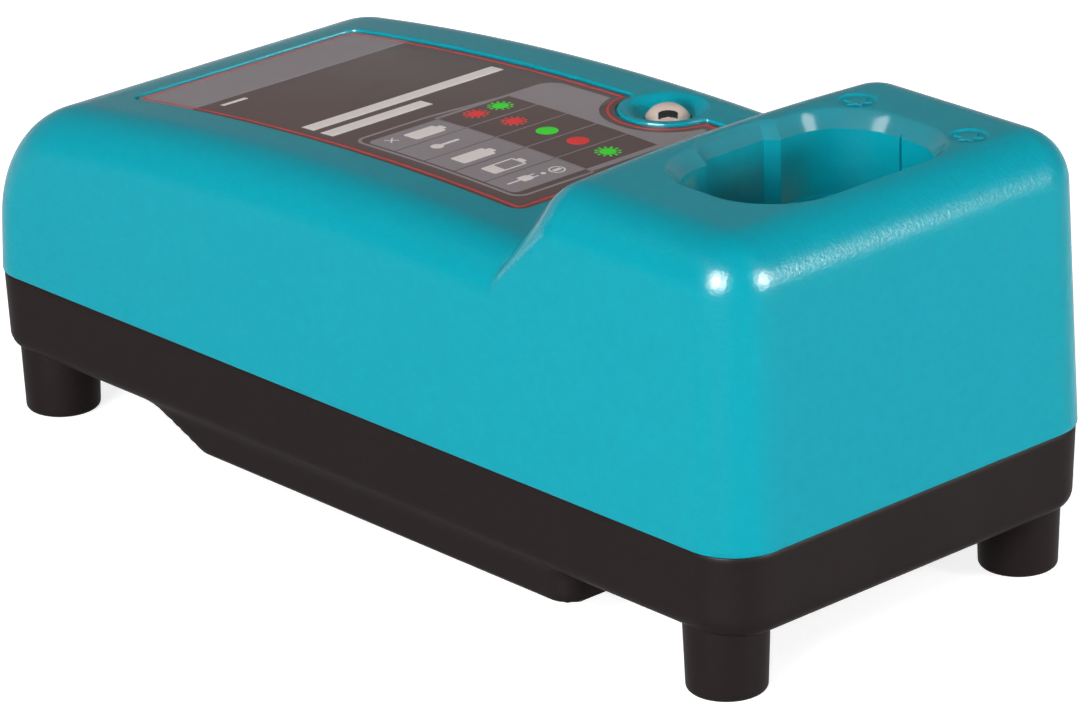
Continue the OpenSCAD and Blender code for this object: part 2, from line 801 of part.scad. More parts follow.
transformer_l = 34;
transformer_w = 30;
transformer_h = 27;
core_t = 5;
core_h = 13;
centre_leg_r = 5;
bobbin_t = 1.3;
winding_r = 10.4;
coil_z = transformer_h / 2 + 1;

// Pair of E cores round the coil, whose axis runs along X
module transformer_core() {
    color(ferrite) on_board(at_transformer) translate([0, 0, coil_z]) {
        for (s = [-1, 1]) {
            translate([s * (transformer_l - core_t) / 2, 0, 0])
                cube([core_t, transformer_w, core_h], center = true);
            translate([0, s * (transformer_w - core_t + 2) / 2, 0])
                cube([transformer_l, core_t - 2, core_h], center = true);
        }
        translate([-transformer_l / 2, 0, 0]) rotate([0, 90, 0]) cylinder(h = transformer_l, r = centre_leg_r);
    }
}

module transformer_bobbin() {
    span = transformer_l - 2 * core_t - 0.6;
    flange_h = transformer_h - 3;
    color([0.14, 0.14, 0.15]) on_board(at_transformer) {
        translate([0, 0, coil_z]) difference() {
            union() {
                translate([-span / 2, 0, 0]) rotate([0, 90, 0]) cylinder(h = span, r = centre_leg_r + bobbin_t);
                for (s = [-1, 1])
                    translate([s * (span - bobbin_t) / 2, 0, 0])
                        cube([bobbin_t, transformer_w - 7, flange_h], center = true);
            }
            translate([-span, 0, 0]) rotate([0, 90, 0]) cylinder(h = 2 * span, r = centre_leg_r + 0.15);
        }
        // Pin rails that stand on the board
        for (s = [-1, 1])
            translate([s * (span - bobbin_t) / 2 - 1.5, -(transformer_w - 7) / 2, 0])
                cube([3, transformer_w - 7, coil_z - flange_h / 2 + 0.6]);
    }
}

module transformer_winding() {
    span = transformer_l - 2 * core_t - 0.6 - 2 * bobbin_t;
    color([0.86, 0.62, 0.2]) on_board(at_transformer) translate([-span / 2 + 0.1, 0, coil_z]) rotate([0, 90, 0])
        difference() {
            cylinder(h = span - 0.2, r = winding_r);
            translate([0, 0, -1]) cylinder(h = span + 2, r = centre_leg_r + bobbin_t + 0.1);
        }
}

choke_r = 9;
choke_bar = 3.6;
choke_turns = 9;
choke_wire = 0.55;
choke_z = choke_bar + 2 * choke_wire + 0.4;

module choke_core() {
    color([0.25, 0.45, 0.3]) on_board(at_choke) translate([0, 0, choke_z])
        rotate_extrude() translate([choke_r, 0]) circle(choke_bar);
}

// Two coils of separate rings, one on each half of the core, with their ends through the board
module choke_winding() {
    color(copper) on_board(at_choke) {
        for (side = [0, 180], i = [0 : choke_turns - 1])
            rotate(side + 28 + i * 124 / (choke_turns - 1)) translate([choke_r, 0, choke_z])
                rotate([90, 0, 0]) rotate_extrude($fn = 32)
                    translate([choke_bar + choke_wire + 0.05, 0]) circle(choke_wire, $fn = 16);
    }
    color(copper) choke_leads();
}

module choke_leads(grow = 0) {
    out = choke_r + choke_bar + choke_wire + 0.05;
    on_board(at_choke)
        leads([for (side = [0, 180], a = [28, 152]) out * [cos(side + a), sin(side + a)]],
              choke_z, choke_wire - 0.1, grow);
}

sink_t = 2;
fin_d = 9;
fin_t = 1.2;

// Upright aluminium comb of length l and height h, its flat face towards -Y
module heatsink(l, h) {
    fins = floor(l / 5);
    linear_extrude(h) {
        translate([-l / 2, 0]) square([l, sink_t]);
        for (i = [0 : fins])
            translate([-l / 2 + i * (l - fin_t) / fins, sink_t - eps]) square([fin_t, fin_d]);
    }
}

// Power device with a metal tab, its back on the XZ plane, body towards -Y
module power_device() {
    translate([-5, -1.3, 12]) cube([10, 1.3, 6.5]);
    translate([-5, -4.4, 3.5]) cube([10, 4.4, 9]);
    power_leads();
}

module power_leads(grow = 0) {
    leads([for (i = [-1 : 1]) [2.54 * i, -2.4]], 3.6, lead_r, grow);
}

module device_leads(grow) {
    on_board(at_primary_sink) mirror([0, 1, 0]) power_leads(grow);
    on_board(at_output_sink) rotate(-90) power_leads(grow);
}

sink_l = 40;
sink_h = 34;
output_sink_l = 34;
output_sink_h = 30;
device_hole_z = 15.6;

module primary_heatsink() {
    color(steel) on_board(at_primary_sink) mirror([0, 1, 0]) difference() {
        heatsink(sink_l, sink_h);
        translate([0, -1, device_hole_z]) rotate([-90, 0, 0]) cylinder(h = 20, r = 1.55);
    }
}

module switching_transistor() {
    color(near_black) on_board(at_primary_sink) mirror([0, 1, 0]) difference() {
        power_device();
        translate([0, -10, device_hole_z]) rotate([-90, 0, 0]) cylinder(h = 20, r = 1.7);
    }
}

module output_heatsink() {
    color(steel) on_board(at_output_sink) rotate(-90) difference() {
        heatsink(output_sink_l, output_sink_h);
        translate([0, -1, device_hole_z]) rotate([-90, 0, 0]) cylinder(h = 20, r = 1.55);
    }
}

module output_rectifier() {
    color(near_black) on_board(at_output_sink) rotate(-90) difference() {
        power_device();
        translate([0, -10, device_hole_z]) rotate([-90, 0, 0]) cylinder(h = 20, r = 1.7);
    }
}

// The screws go in through the devices' tabs, heads on the tabs
module heatsink_screws() {
    color(steel) {
        on_board(at_primary_sink) mirror([0, 1, 0])
            translate([0, -1.3, device_hole_z]) rotate([-90, 0, 0]) screw(3, 6, 5.4, 2);
        on_board(at_output_sink) rotate(-90)
            translate([0, -1.3, device_hole_z]) rotate([-90, 0, 0]) screw(3, 6, 5.4, 2);
    }
}

module bridge_rectifier() {
    color(near_black) {
        on_board(at_bridge) translate([-10, -1.8, 3]) cube([20, 3.6, 11]);
        bridge_leads();
    }
}

module bridge_leads(grow = 0) {
    on_board(at_bridge) leads([for (i = [-1.5 : 1.5]) [5 * i, 0]], 3.5, thick_lead_r, grow);
}

// Upright electrolytic capacitor: rolled rim, groove and sleeve
module can_capacitor(r, h) {
    rotate_extrude() difference() {
        translate([0, 0.3]) square([r, h - 0.3]);
        translate([r + 0.5, 3]) circle(1, $fn = 24);
        translate([0, h - 0.5]) square([r - 1.6, 1]);
    }
}

function can_leads(r) = [[-r / 2.2, 0], [r / 2.2, 0]];

module bulk_capacitor() {
    color([0.12, 0.14, 0.2]) {
        on_board(at_bulk) can_capacitor(bulk_r, 32);
        bulk_leads();
    }
}

module bulk_leads(grow = 0) {
    on_board(at_bulk) leads(can_leads(bulk_r), 0.5, lead_r, grow);
}

module output_capacitors() {
    color([0.1, 0.12, 0.18]) {
        for (p = at_output_caps) on_board(p) can_capacitor(output_cap_r, 22);
        output_leads();
    }
}

module output_leads(grow = 0) {
    for (p = at_output_caps) on_board(p) leads(can_leads(output_cap_r), 0.5, lead_r, grow);
}

module suppression_capacitor() {
    color([0.85, 0.75, 0.2]) {
        on_board(at_suppression) translate([-4, -suppression_l / 2, 0]) cube([8, suppression_l, 15]);
        suppression_leads();
    }
}

module suppression_leads(grow = 0) {
    on_board(at_suppression) leads([for (s = [-1, 1]) [0, s * (suppression_l / 2 - 1.5)]], 1, lead_r, grow);
}

module varistor() {
    color([0.15, 0.35, 0.6]) {
        on_board(at_varistor) translate([-2, 0, 8]) rotate([0, 90, 0]) cylinder(h = 4, r = 5.5);
        varistor_leads();
    }
}

module varistor_leads(grow = 0) {
    on_board(at_varistor) leads([[0, -2.5], [0, 2.5]], 5, lead_r, grow);
}

fuse_l = 20;
fuse_r = 2.6;
fuse_z = 5;

module fuse() {
    color([0.85, 0.88, 0.9]) on_board(at_fuse) translate([0, 0, fuse_z]) rotate([0, 90, 0]) {
        translate([0, 0, -fuse_l / 2]) cylinder(h = fuse_l, r = fuse_r - 0.25);
        for (s = [-1, 1])
            translate([0, 0, s * (fuse_l / 2 - 2.5) - 2.5]) cylinder(h = 5, r = fuse_r);
    }
}

module fuse_clips() {
    clip_t = 0.5;
    color(brass) on_board(at_fuse) for (s = [-1, 1]) translate([s * (fuse_l / 2 - 2.5), 0, fuse_z]) {
        rotate([0, 90, 0]) translate([0, 0, -2]) difference() {
            cylinder(h = 4, r = fuse_r + clip_t);
            translate([0, 0, -1]) cylinder(h = 6, r = fuse_r + 0.02);
            translate([-10 - fuse_r * 0.5, -10, -1]) cube([10, 20, 6]);
        }
        translate([-2, -clip_t / 2 - 1, -fuse_z]) cube([4, clip_t + 2, fuse_z - fuse_r - 0.05]);
    }
    color(brass) clip_leads();
}

module clip_leads(grow = 0) {
    on_board(at_fuse) leads([for (s = [-1, 1]) [s * (fuse_l / 2 - 2.5), 0]], 0.2, thick_lead_r, grow);
}

module relay() {
    color([0.1, 0.25, 0.5]) {
        on_board(at_relay) translate([-9.5, -7.75, 0]) cube([19, 15.5, 15.5]);
        relay_leads();
    }
}

module relay_leads(grow = 0) {
    on_board(at_relay) leads([for (x = [-7, 7], y = [-6, 6]) [x, y]], 0.6, thick_lead_r, grow);
}

// Dual in-line package with pins on both long sides
module dil_package(pins, w) {
    l = pins / 2 * 2.54;
    difference() {
        translate([-l / 2, -w / 2, 0.6]) cube([l, w, 3.2]);
        translate([-l / 2, 0, 3.4]) cylinder(h = 2, r = 0.9);
    }
    for (p = dil_points(pins, w))
        translate([p[0] - 0.6, p[1] > 0 ? w / 2 - eps : -w / 2 - 0.7, 1.9]) cube([1.2, 0.7, 0.3]);
}

function dil_points(pins, w) = [for (i = [0 : pins / 2 - 1], s = [-1, 1])
    [(i - (pins / 2 - 1) / 2) * 2.54, s * (w / 2 + 0.45)]];

dil_w = 6.4;

module control_chip() {
    color(near_black) {
        on_board(at_chip) dil_package(16, dil_w);
        chip_leads();
    }
}

module chip_leads(grow = 0) {
    on_board(at_chip) leads(dil_points(16, dil_w), 2.1, thin_lead_r, grow);
}

module optocouplers() {
    color(near_black) {
        for (p = at_opto) on_board(p) dil_package(4, dil_w);
        opto_leads();
    }
}

module opto_leads(grow = 0) {
    for (p = at_opto) on_board(p) leads(dil_points(4, dil_w), 2.1, thin_lead_r, grow);
}

module resistors() {
    color([0.75, 0.62, 0.42]) {
        for (p = at_resistors) on_board(p) {
            translate([0, -3.2, 1.6]) rotate([-90, 0, 0]) cylinder(h = 6.4, r = 1.15);
            for (s = [-1, 1])
                translate([0, s < 0 ? -5 : 3, 1.6]) rotate([-90, 0, 0]) cylinder(h = 2, r = thin_lead_r - 0.05);
        }
        resistor_leads();
    }
}

module resistor_leads(grow = 0) {
    for (p = at_resistors) on_board(p) leads([[0, -5], [0, 5]], 1.9, thin_lead_r, grow);
}

pin_h = 7.5;

// Open-topped plug housing of n ways
module pin_header(n, pitch) {
    l = n * pitch + 1.6;
    difference() {
        translate([-l / 2, -3.5, 0]) cube([l, 7, 9]);
        translate([-l / 2 + 0.9, -2.6, 1.5]) cube([l - 1.8, 5.2, 9]);
    }
}

mains_pitch = 7.5;
output_pitch = 3.96;

module mains_connector() {
    color([0.9, 0.9, 0.86]) {
        on_board(at_mains_plug) rotate(90) pin_header(2, mains_pitch);
        mains_pins();
    }
}

module mains_pins(grow = 0) {
    on_board(at_mains_plug) leads([for (s = [-1, 1]) [0, s * mains_pitch / 2]], pin_h, thick_lead_r, grow);
}

module output_connector() {
    color([0.9, 0.9, 0.86]) {
        on_board(at_output_plug) pin_header(3, output_pitch);
        output_pins();
    }
}

module output_pins(grow = 0) {
    on_board(at_output_plug) leads([for (i = [-1 : 1]) [i * output_pitch, 0]], pin_h, thick_lead_r, grow);
}

// ---- Contacts ----

function contact_x(i) = well_x + (i - 1) * contact_pitch;
// Y of the contact's bow
function bow_y(i) = well_end_y((i - 1) * contact_pitch) - contact_reach;
function root_y(i) = bow_y(i) + root_back + contact_t / 2;

// Outline of a strip of thickness t that follows a bent line, with mitred corners
function unit(v) = v / norm(v);
function left(v) = [-v[1], v[0]];
function mitre(line, k) = let (a = unit(line[max(k, 1)] - line[max(k, 1) - 1]),
                               b = unit(line[min(k + 1, len(line) - 1)] - line[min(k, len(line) - 2)]),
                               n = unit(left(a) + left(b))) n / (n * left(a));
function strip(line, t) = concat([for (k = [0 : len(line) - 1]) line[k] + mitre(line, k) * t / 2],
                                 [for (k = [len(line) - 1 : -1 : 0]) line[k] - mitre(line, k) * t / 2]);

module contact(i) {
    color(brass) translate([contact_x(i) - contact_w / 2, bow_y(i) + contact_t / 2, root_z])
        rotate([90, 0, 90]) {
            linear_extrude(contact_w) polygon(strip(contact_line, contact_t));
            translate(contact_line[0]) cylinder(h = contact_w, r = root_r);
        }
}

module contact_minus() {
    contact(0);
}

module contact_sense() {
    contact(1);
}

module contact_plus() {
    contact(2);
}

module terminal_block() {
    slot_w = contact_w + 2 * slot_gap;
    color(near_black) difference() {
        union() {
            translate([well_x - window_w / 2 + block_gap, well_end_y(window_w / 2), block_z0])
                cube([window_w - 2 * block_gap, block_back - well_end_y(window_w / 2), block_z1 - block_z0]);
            translate([well_x - block_screw_dx - 4, block_back - 1, block_z1 - shelf_t])
                cube([2 * block_screw_dx + 8, shelf_back - block_back + 1, shelf_t]);
        }
        // The front follows the well's round end
        translate([well_x, 0, well_floor]) linear_extrude(well_depth)
            round_rect(low_l + 0.6, low_w + 0.6, low_r + 0.3);
        for (i = [0 : 2]) {
            // Slot that the contact bows out of
            translate([contact_x(i) - slot_w / 2, 0, root_seat_top])
                cube([slot_w, root_y(i) + 1.2, block_z1 - root_seat_top - 1.2]);
            // Round seat of the contact's root, with its mouth
            translate([contact_x(i) - slot_w / 2, root_y(i), root_z]) rotate([0, 90, 0])
                cylinder(h = slot_w, r = root_r + root_gap);
            translate([contact_x(i) - slot_w / 2, root_y(i) - 0.9, root_z])
                cube([slot_w, 1.8, root_seat_top - root_z + eps]);
            // Hole for the tab
            translate([contact_x(i) - tab_w / 2, root_y(i), root_z - tab_t / 2]) cube([tab_w, 30, tab_t]);
        }
        for (s = [-1, 1])
            translate([well_x + s * block_screw_dx, block_screw_y, block_z0])
                cylinder(h = 60, d = block_screw_d + 0.3);
    }
}

module terminal_tabs() {
    color(steel) for (i = [0 : 2])
        translate([contact_x(i) - tab_w / 2, root_y(i) + root_r + 0.3, root_z - tab_t / 2])
            cube([tab_w, block_back + tab_out - root_y(i) - root_r - 0.3, tab_t]);
}

module terminal_screws() {
    color(steel) for (s = [-1, 1])
        translate([well_x + s * block_screw_dx, block_screw_y, block_z1 - shelf_t])
            screw(block_screw_d, 11, 4.2, 1.6);
}

// Three wires from the terminal block's tabs to the output plug
module output_wires() {
    wire_r = 0.9;
    step = 2.4;
    plug = [board_x + at_output_plug[0], at_output_plug[1], board_top + pin_h];
    color([0.75, 0.1, 0.1]) for (i = [0 : 2])
        wire([[contact_x(i), block_back + tab_out, root_z],
              [contact_x(i), block_back + tab_out + 2, root_z],
              [contact_x(i), block_back + tab_out + 4, root_z - 8 - i * step],
              [plug.x + (i - 1) * output_pitch, plug.y + 1, plug.z + 14 - i * step],
              [plug.x + (i - 1) * output_pitch, plug.y, plug.z + 7],
              [plug.x + (i - 1) * output_pitch, plug.y, plug.z]], wire_r);
}

// ---- Mains inlet ----

module cord_gland() {
    fit = 0.05;
    color([0.1, 0.1, 0.1]) translate([gland_x, 0, seam_z]) rotate([-90, 0, 0]) difference() {
        union() {
            translate([0, 0, gland_face_y - gland_l]) cylinder(h = gland_l, r = gland_neck_r - fit);
            translate([0, 0, gland_face_y - gland_flange + fit])
                cylinder(h = gland_flange - fit, d = gland_d - 2 * fit);
            translate([0, 0, gland_wall_y - fit - 3 * gland_flange])
                cylinder(h = 3 * gland_flange, d = gland_d - 2 * fit);
        }
        translate([0, 0, -1]) cylinder(h = body_w, d = gland_bore_d);
    }
}

module cord_clamp() {
    color([0.2, 0.2, 0.2]) difference() {
        translate([gland_x - clamp_dx - 4, clamp_y - clamp_w / 2, clamp_seat_z])
            cube([2 * clamp_dx + 8, clamp_w, clamp_h]);
        translate([gland_x, clamp_y - clamp_w, seam_z]) rotate([-90, 0, 0])
            cylinder(h = 2 * clamp_w, d = gland_bore_d);
        for (s = [-1, 1])
            translate([gland_x + s * clamp_dx, clamp_y, clamp_seat_z - 1])
                cylinder(h = clamp_h + 2, d = clamp_screw_d + 0.4);
    }
}

module clamp_screws() {
    color(steel) for (s = [-1, 1])
        translate([gland_x + s * clamp_dx, clamp_y, clamp_seat_z + clamp_h]) mirror([0, 0, 1])
            screw(clamp_screw_d, clamp_h + clamp_screw_l - 1, 4.8, 1.8);
}

upper_casing();
lower_casing();
casing_screws();
label_plate();
status_lens();
status_lamp();
lamp_board();
lamp_board_screws();
lamp_lead();
main_board();
board_screws();
insulating_sheet();
transformer_core();
transformer_bobbin();
transformer_winding();
choke_core();
choke_winding();
primary_heatsink();
switching_transistor();
output_heatsink();
output_rectifier();
heatsink_screws();
bridge_rectifier();
bulk_capacitor();
output_capacitors();
suppression_capacitor();
varistor();
fuse();
fuse_clips();
relay();
control_chip();
optocouplers();
resistors();
mains_connector();
output_connector();
output_wires();
terminal_block();
terminal_tabs();
terminal_screws();
contact_plus();
contact_minus();
contact_sense();
cord_gland();
cord_clamp();
clamp_screws();
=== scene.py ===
# %% [markdown]
# # A bench charger for stick batteries
# The charger has a teal upper shell with an arched deck and a raised pod at one end. A stick
# battery's stem goes down into the well in the pod. Below it are a dark lower shell, a sump for the
# circuit board and four cone feet. Millimetres are used for the shapes, as on a maker's drawing, and
# every mesh is scaled to metres at the moment it is made.

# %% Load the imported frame
import json
import math

import bmesh
import bpy
import numpy as np
from mathutils import Matrix, Vector


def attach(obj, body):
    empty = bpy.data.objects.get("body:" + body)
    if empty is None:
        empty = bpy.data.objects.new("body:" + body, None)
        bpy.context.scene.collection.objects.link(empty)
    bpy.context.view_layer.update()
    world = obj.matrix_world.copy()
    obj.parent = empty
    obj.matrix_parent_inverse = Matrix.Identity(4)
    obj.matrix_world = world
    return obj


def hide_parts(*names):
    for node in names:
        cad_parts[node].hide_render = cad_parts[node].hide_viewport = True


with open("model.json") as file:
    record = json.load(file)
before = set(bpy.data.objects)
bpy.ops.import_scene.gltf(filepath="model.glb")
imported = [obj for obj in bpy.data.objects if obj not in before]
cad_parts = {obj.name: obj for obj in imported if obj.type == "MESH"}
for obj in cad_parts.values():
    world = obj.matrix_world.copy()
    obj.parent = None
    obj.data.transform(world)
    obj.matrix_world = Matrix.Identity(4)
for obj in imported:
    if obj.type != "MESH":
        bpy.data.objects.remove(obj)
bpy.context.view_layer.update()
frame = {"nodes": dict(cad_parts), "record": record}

MM = 0.001
BODY = "body"

# %% [markdown]
# ## The camera
# A long lens a little over a metre away looks down on a corner of the pod.

# %% The camera
SENSOR_MM = 36.0
PICTURE_W_PX = 1080
FOCAL_PX = 5789.11
AZIMUTH, ELEVATION, ROLL = (math.radians(a) for a in (47.89, 21.82, -1.5))
TARGET_MM = Vector((4.25, 1.73, 27.78))
DISTANCE_MM = 1171.49


def camera_matrix():
    back = Vector((math.sin(AZIMUTH) * math.cos(ELEVATION),
                   -math.cos(AZIMUTH) * math.cos(ELEVATION), math.sin(ELEVATION)))
    right = Vector((math.cos(AZIMUTH), math.sin(AZIMUTH), 0))
    up = back.cross(right)
    across = right * math.cos(ROLL) + up * math.sin(ROLL)
    upward = up * math.cos(ROLL) - right * math.sin(ROLL)
    turned = Matrix((across, upward, back)).transposed().to_4x4()
    return Matrix.Translation((TARGET_MM + back * DISTANCE_MM) * MM) @ turned


scene = bpy.context.scene
lens = bpy.data.cameras.new("camera")
lens.sensor_fit = "HORIZONTAL"
lens.sensor_width = SENSOR_MM
lens.lens = FOCAL_PX * SENSOR_MM / PICTURE_W_PX
lens.clip_end = 50
camera = bpy.data.objects.new("camera", lens)
camera.matrix_world = camera_matrix()
scene.collection.objects.link(camera)
scene.camera = camera
scene.view_settings.view_transform = "Standard"
print("lens", round(lens.lens, 1), "mm")


# %% [markdown]
# ## Meshes from lists of points
# Most pieces here are rings of points that are joined into a closed skin, or cutters that a boolean
# takes away. A few helpers do that and keep every face pointing outwards.

# %% Small helpers for meshes
def new_object(name, mesh):
    obj = bpy.data.objects.new(name, mesh)
    scene.collection.objects.link(obj)
    return obj


def make_mesh(name, points_mm, faces, smooth=False):
    """A mesh object from points in millimetres."""
    mesh = bpy.data.meshes.new(name)
    mesh.from_pydata((np.asarray(points_mm, float) * MM).tolist(), [], [list(map(int, f)) for f in faces])
    mesh.validate()
    if smooth:
        mesh.shade_smooth()
    return new_object(name, mesh)


def edit(obj, work):
    """Runs work(bm) on an object's mesh."""
    bm = bmesh.new()
    bm.from_mesh(obj.data)
    work(bm)
    bm.to_mesh(obj.data)
    bm.free()
    obj.data.update()
    return obj


def outwards(obj):
    return edit(obj, lambda bm: bmesh.ops.recalc_face_normals(bm, faces=bm.faces))


def merge_close(obj, gap_mm=0.002):
    return edit(obj, lambda bm: bmesh.ops.remove_doubles(bm, verts=bm.verts, dist=gap_mm * MM))


def baked(obj):
    """The object's mesh with its modifiers worked in, as a plain mesh."""
    deps = bpy.context.evaluated_depsgraph_get()
    deps.update()
    mesh = bpy.data.meshes.new_from_object(obj.evaluated_get(deps), preserve_all_data_layers=True,
                                           depsgraph=deps)
    obj.modifiers.clear()
    obj.data = mesh
    return obj


def combine(obj, other, operation):
    """A boolean of two closed meshes; the second one is used up."""
    mod = obj.modifiers.new(operation.lower(), "BOOLEAN")
    mod.operation = operation
    mod.solver = "MANIFOLD"
    mod.object = other
    baked(obj)
    bpy.data.objects.remove(other)
    return obj


def cut(obj, *cutters):
    for cutter in cutters:
        combine(obj, cutter, "DIFFERENCE")
    return obj


def bands(count, n):
    """The squares between count rings of n points."""
    return [[k * n + i, k * n + (i + 1) % n, (k + 1) * n + (i + 1) % n, (k + 1) * n + i]
            for k in range(count - 1) for i in range(n)]


def loft(name, rings, smooth=False):
    """A closed skin over rings of equal length, given from the lowest to the highest."""
    n, count = len(rings[0]), len(rings)
    ends = [list(range(n))[::-1], [(count - 1) * n + i for i in range(n)]]
    return outwards(make_mesh(name, np.concatenate(rings), bands(count, n) + ends, smooth))


def at_height(plan, z):
    return np.column_stack([np.asarray(plan, float), np.full(len(plan), z)])


def bar(x0, y0, x1, y1):
    return np.array([(x0, y0), (x1, y0), (x1, y1), (x0, y1)], float)


def box_mm(name, low, high):
    plan = bar(*low[:2], *high[:2])
    return loft(name, [at_height(plan, low[2]), at_height(plan, high[2])])


def turned(name, profile, centre=(0, 0), segments=64, smooth=True):
    """A closed body of revolution about a vertical axis, from (radius, height) pairs, lowest first."""
    angles = np.linspace(0, 2 * math.pi, segments, endpoint=False)
    rings = [np.column_stack([centre[0] + r * np.cos(angles), centre[1] + r * np.sin(angles),
                              np.full(segments, float(z))]) for r, z in profile]
    return loft(name, rings, smooth)


# %% [markdown]
# ## Finishes
# Moulded plastic is never one flat colour: the mould's spark-eroded skin gives it a fine grain,
# and handling leaves small changes of gloss. Two node groups hold those effects. Grain gives a
# height for the bump and a tone, and smudges give a slow mask. Each finish sets its own values.

# %% Node groups
class Nodes:
    """Short ways to add and link nodes in a tree."""

    def __init__(self, tree):
        self.tree = tree

    def add(self, kind, **values):
        node = self.tree.nodes.new(kind)
        for key, value in values.items():
            setattr(node, key, value)
        return node

    def link(self, a, b):
        self.tree.links.new(a, b)

    def chain(self, *links):
        """Links given as (node, its output, node, its input)."""
        for source, output, target, socket in links:
            self.link(source.outputs[output], target.inputs[socket])

    def maths(self, operation, a, b):
        node = self.add("ShaderNodeMath", operation=operation)
        for socket, value in zip(node.inputs, (a, b)):
            if hasattr(value, "links"):
                self.link(value, socket)
            else:
                socket.default_value = value
        return node.outputs[0]


def new_group(name, inputs, outputs, kind="ShaderNodeTree"):
    """A group with named sockets. An input is given as its name, its kind and, if it has one, its value."""
    tree = bpy.data.node_groups.new(name, kind)
    for label, socket_kind, *value in inputs:
        socket = tree.interface.new_socket(name=label, in_out="INPUT", socket_type="NodeSocket" + socket_kind)
        if value:
            socket.default_value = value[0]
    for label, socket_kind in outputs:
        tree.interface.new_socket(name=label, in_out="OUTPUT", socket_type="NodeSocket" + socket_kind)
    net = Nodes(tree)
    return tree, net, net.add("NodeGroupInput"), net.add("NodeGroupOutput")


def build_grain():
    """Fine moulded grain: two noises, one for the pits and one for the slow tone."""
    tree, net, src, dst = new_group(
        "moulded_grain",
        [("Vector", "Vector"), ("Pits per metre", "Float", 2200.0), ("Stretch", "Vector", (1, 1, 1))],
        [("Height", "Float"), ("Tone", "Float")])
    stretch = net.add("ShaderNodeVectorMath", operation="MULTIPLY")
    pits, tone = net.add("ShaderNodeTexNoise"), net.add("ShaderNodeTexNoise")
    pits.inputs["Detail"].default_value = 3
    pits.inputs["Roughness"].default_value = 0.6
    tone.inputs["Detail"].default_value = 2
    net.chain((src, "Vector", stretch, 0), (src, "Stretch", stretch, 1), (stretch, 0, pits, "Vector"),
              (src, "Pits per metre", pits, "Scale"), (src, "Vector", tone, "Vector"),
              (pits, 0, dst, "Height"), (tone, 0, dst, "Tone"))
    net.link(net.maths("MULTIPLY", src.outputs["Pits per metre"], 0.35), tone.inputs["Scale"])
    return tree


def build_smudges():
    """Slow patches, a hand's touch across, with faint hairlines through them."""
    tree, net, src, dst = new_group(
        "smudges", [("Vector", "Vector"), ("Patches per metre", "Float", 45.0)], [("Mask", "Float")])
    patch = net.add("ShaderNodeTexNoise")
    patch.inputs["Detail"].default_value = 4
    patch.inputs["Distortion"].default_value = 0.6
    spread = net.add("ShaderNodeMapRange")
    spread.inputs["From Min"].default_value = 0.4
    spread.inputs["From Max"].default_value = 0.68
    net.chain((src, "Vector", patch, "Vector"), (src, "Patches per metre", patch, "Scale"),
              (patch, 0, spread, "Value"), (spread, "Result", dst, "Mask"))
    return tree


GRAIN = build_grain()
SMUDGES = build_smudges()
print("groups:", GRAIN.name, SMUDGES.name)


# %% [markdown]
# One function makes every finish. Its constants sit on the shader's own sockets, and only what
# changes over the surface comes through links.

# %% The finish maker
FINISHES = {}


def principled(name, constants):
    """A new material, its nodes and its Principled shader with constants on the shader's sockets."""
    material = bpy.data.materials.new(name)
    material.use_nodes = True
    shader = material.node_tree.nodes["Principled BSDF"]
    for socket, value in constants.items():
        shader.inputs[socket].default_value = value
    return material, Nodes(material.node_tree), shader


def finish(name, colour, rough, metal=0.0, pits=2500, depth=0.02, tone=0.06, gloss_change=0.06,
           stretch=(1, 1, 1), **constants):
    """A Principled material with moulded or drawn grain; depth is the bump's distance in millimetres."""
    named = {key.replace("_", " "): value for key, value in constants.items()}
    material, net, shader = principled(name, {"Metallic": metal, **named})
    place = net.add("ShaderNodeTexCoord").outputs["Object"]
    grain = net.add("ShaderNodeGroup", node_tree=GRAIN)
    grain.inputs["Pits per metre"].default_value = pits
    grain.inputs["Stretch"].default_value = stretch
    smudge = net.add("ShaderNodeGroup", node_tree=SMUDGES)
    for group in (grain, smudge):
        net.link(place, group.inputs["Vector"])
    shade = net.add("ShaderNodeMix", data_type="RGBA")
    shade.inputs["A"].default_value = (*[c * (1 - tone) for c in colour], 1)
    shade.inputs["B"].default_value = (*[min(1, c * (1 + tone)) for c in colour], 1)
    dull = net.maths("MULTIPLY", smudge.outputs["Mask"], gloss_change)
    net.link(net.maths("ADD", dull, rough), shader.inputs["Roughness"])
    bump = net.add("ShaderNodeBump")
    bump.inputs["Distance"].default_value = depth * MM
    net.chain((grain, "Tone", shade, "Factor"), (shade, "Result", shader, "Base Color"),
              (grain, "Height", bump, "Height"), (bump, 0, shader, "Normal"))
    FINISHES[name] = material
    return material


# The second teal is the first one darkened: painted shade for the well's mouth.
TEAL, TEAL_SHADED = (0.0008, 0.300, 0.380), (0.0006, 0.225, 0.285)
SMOOTH = dict(pits=1500, depth=0.004, tone=0.03, gloss_change=0.02)
finish("teal_plastic", TEAL, 0.22, pits=1300, depth=0.08, tone=0.05, gloss_change=0.02,
       Specular_IOR_Level=0.09)
finish("teal_polished_shaded", TEAL_SHADED, 0.12, **SMOOTH, Specular_IOR_Level=1.0)
finish("teal_crest", TEAL, 0.12, **SMOOTH, Specular_IOR_Level=1.0)
finish("black_plastic", (0.013, 0.0085, 0.0085), 0.44, pits=2400, depth=0.03, tone=0.12,
       Specular_IOR_Level=0.04)
finish("label_film", (0.105, 0.062, 0.056), 0.33, pits=5000, depth=0.008, tone=0.05,
       Specular_IOR_Level=0.3)
finish("heatsink_aluminium", (0.6, 0.61, 0.62), 0.38, 1.0, 900, stretch=(0.1, 1, 1))
finish("contact_brass", (0.72, 0.5, 0.16), 0.24, 1.0, 1600, 0.012, stretch=(1, 1, 0.08))
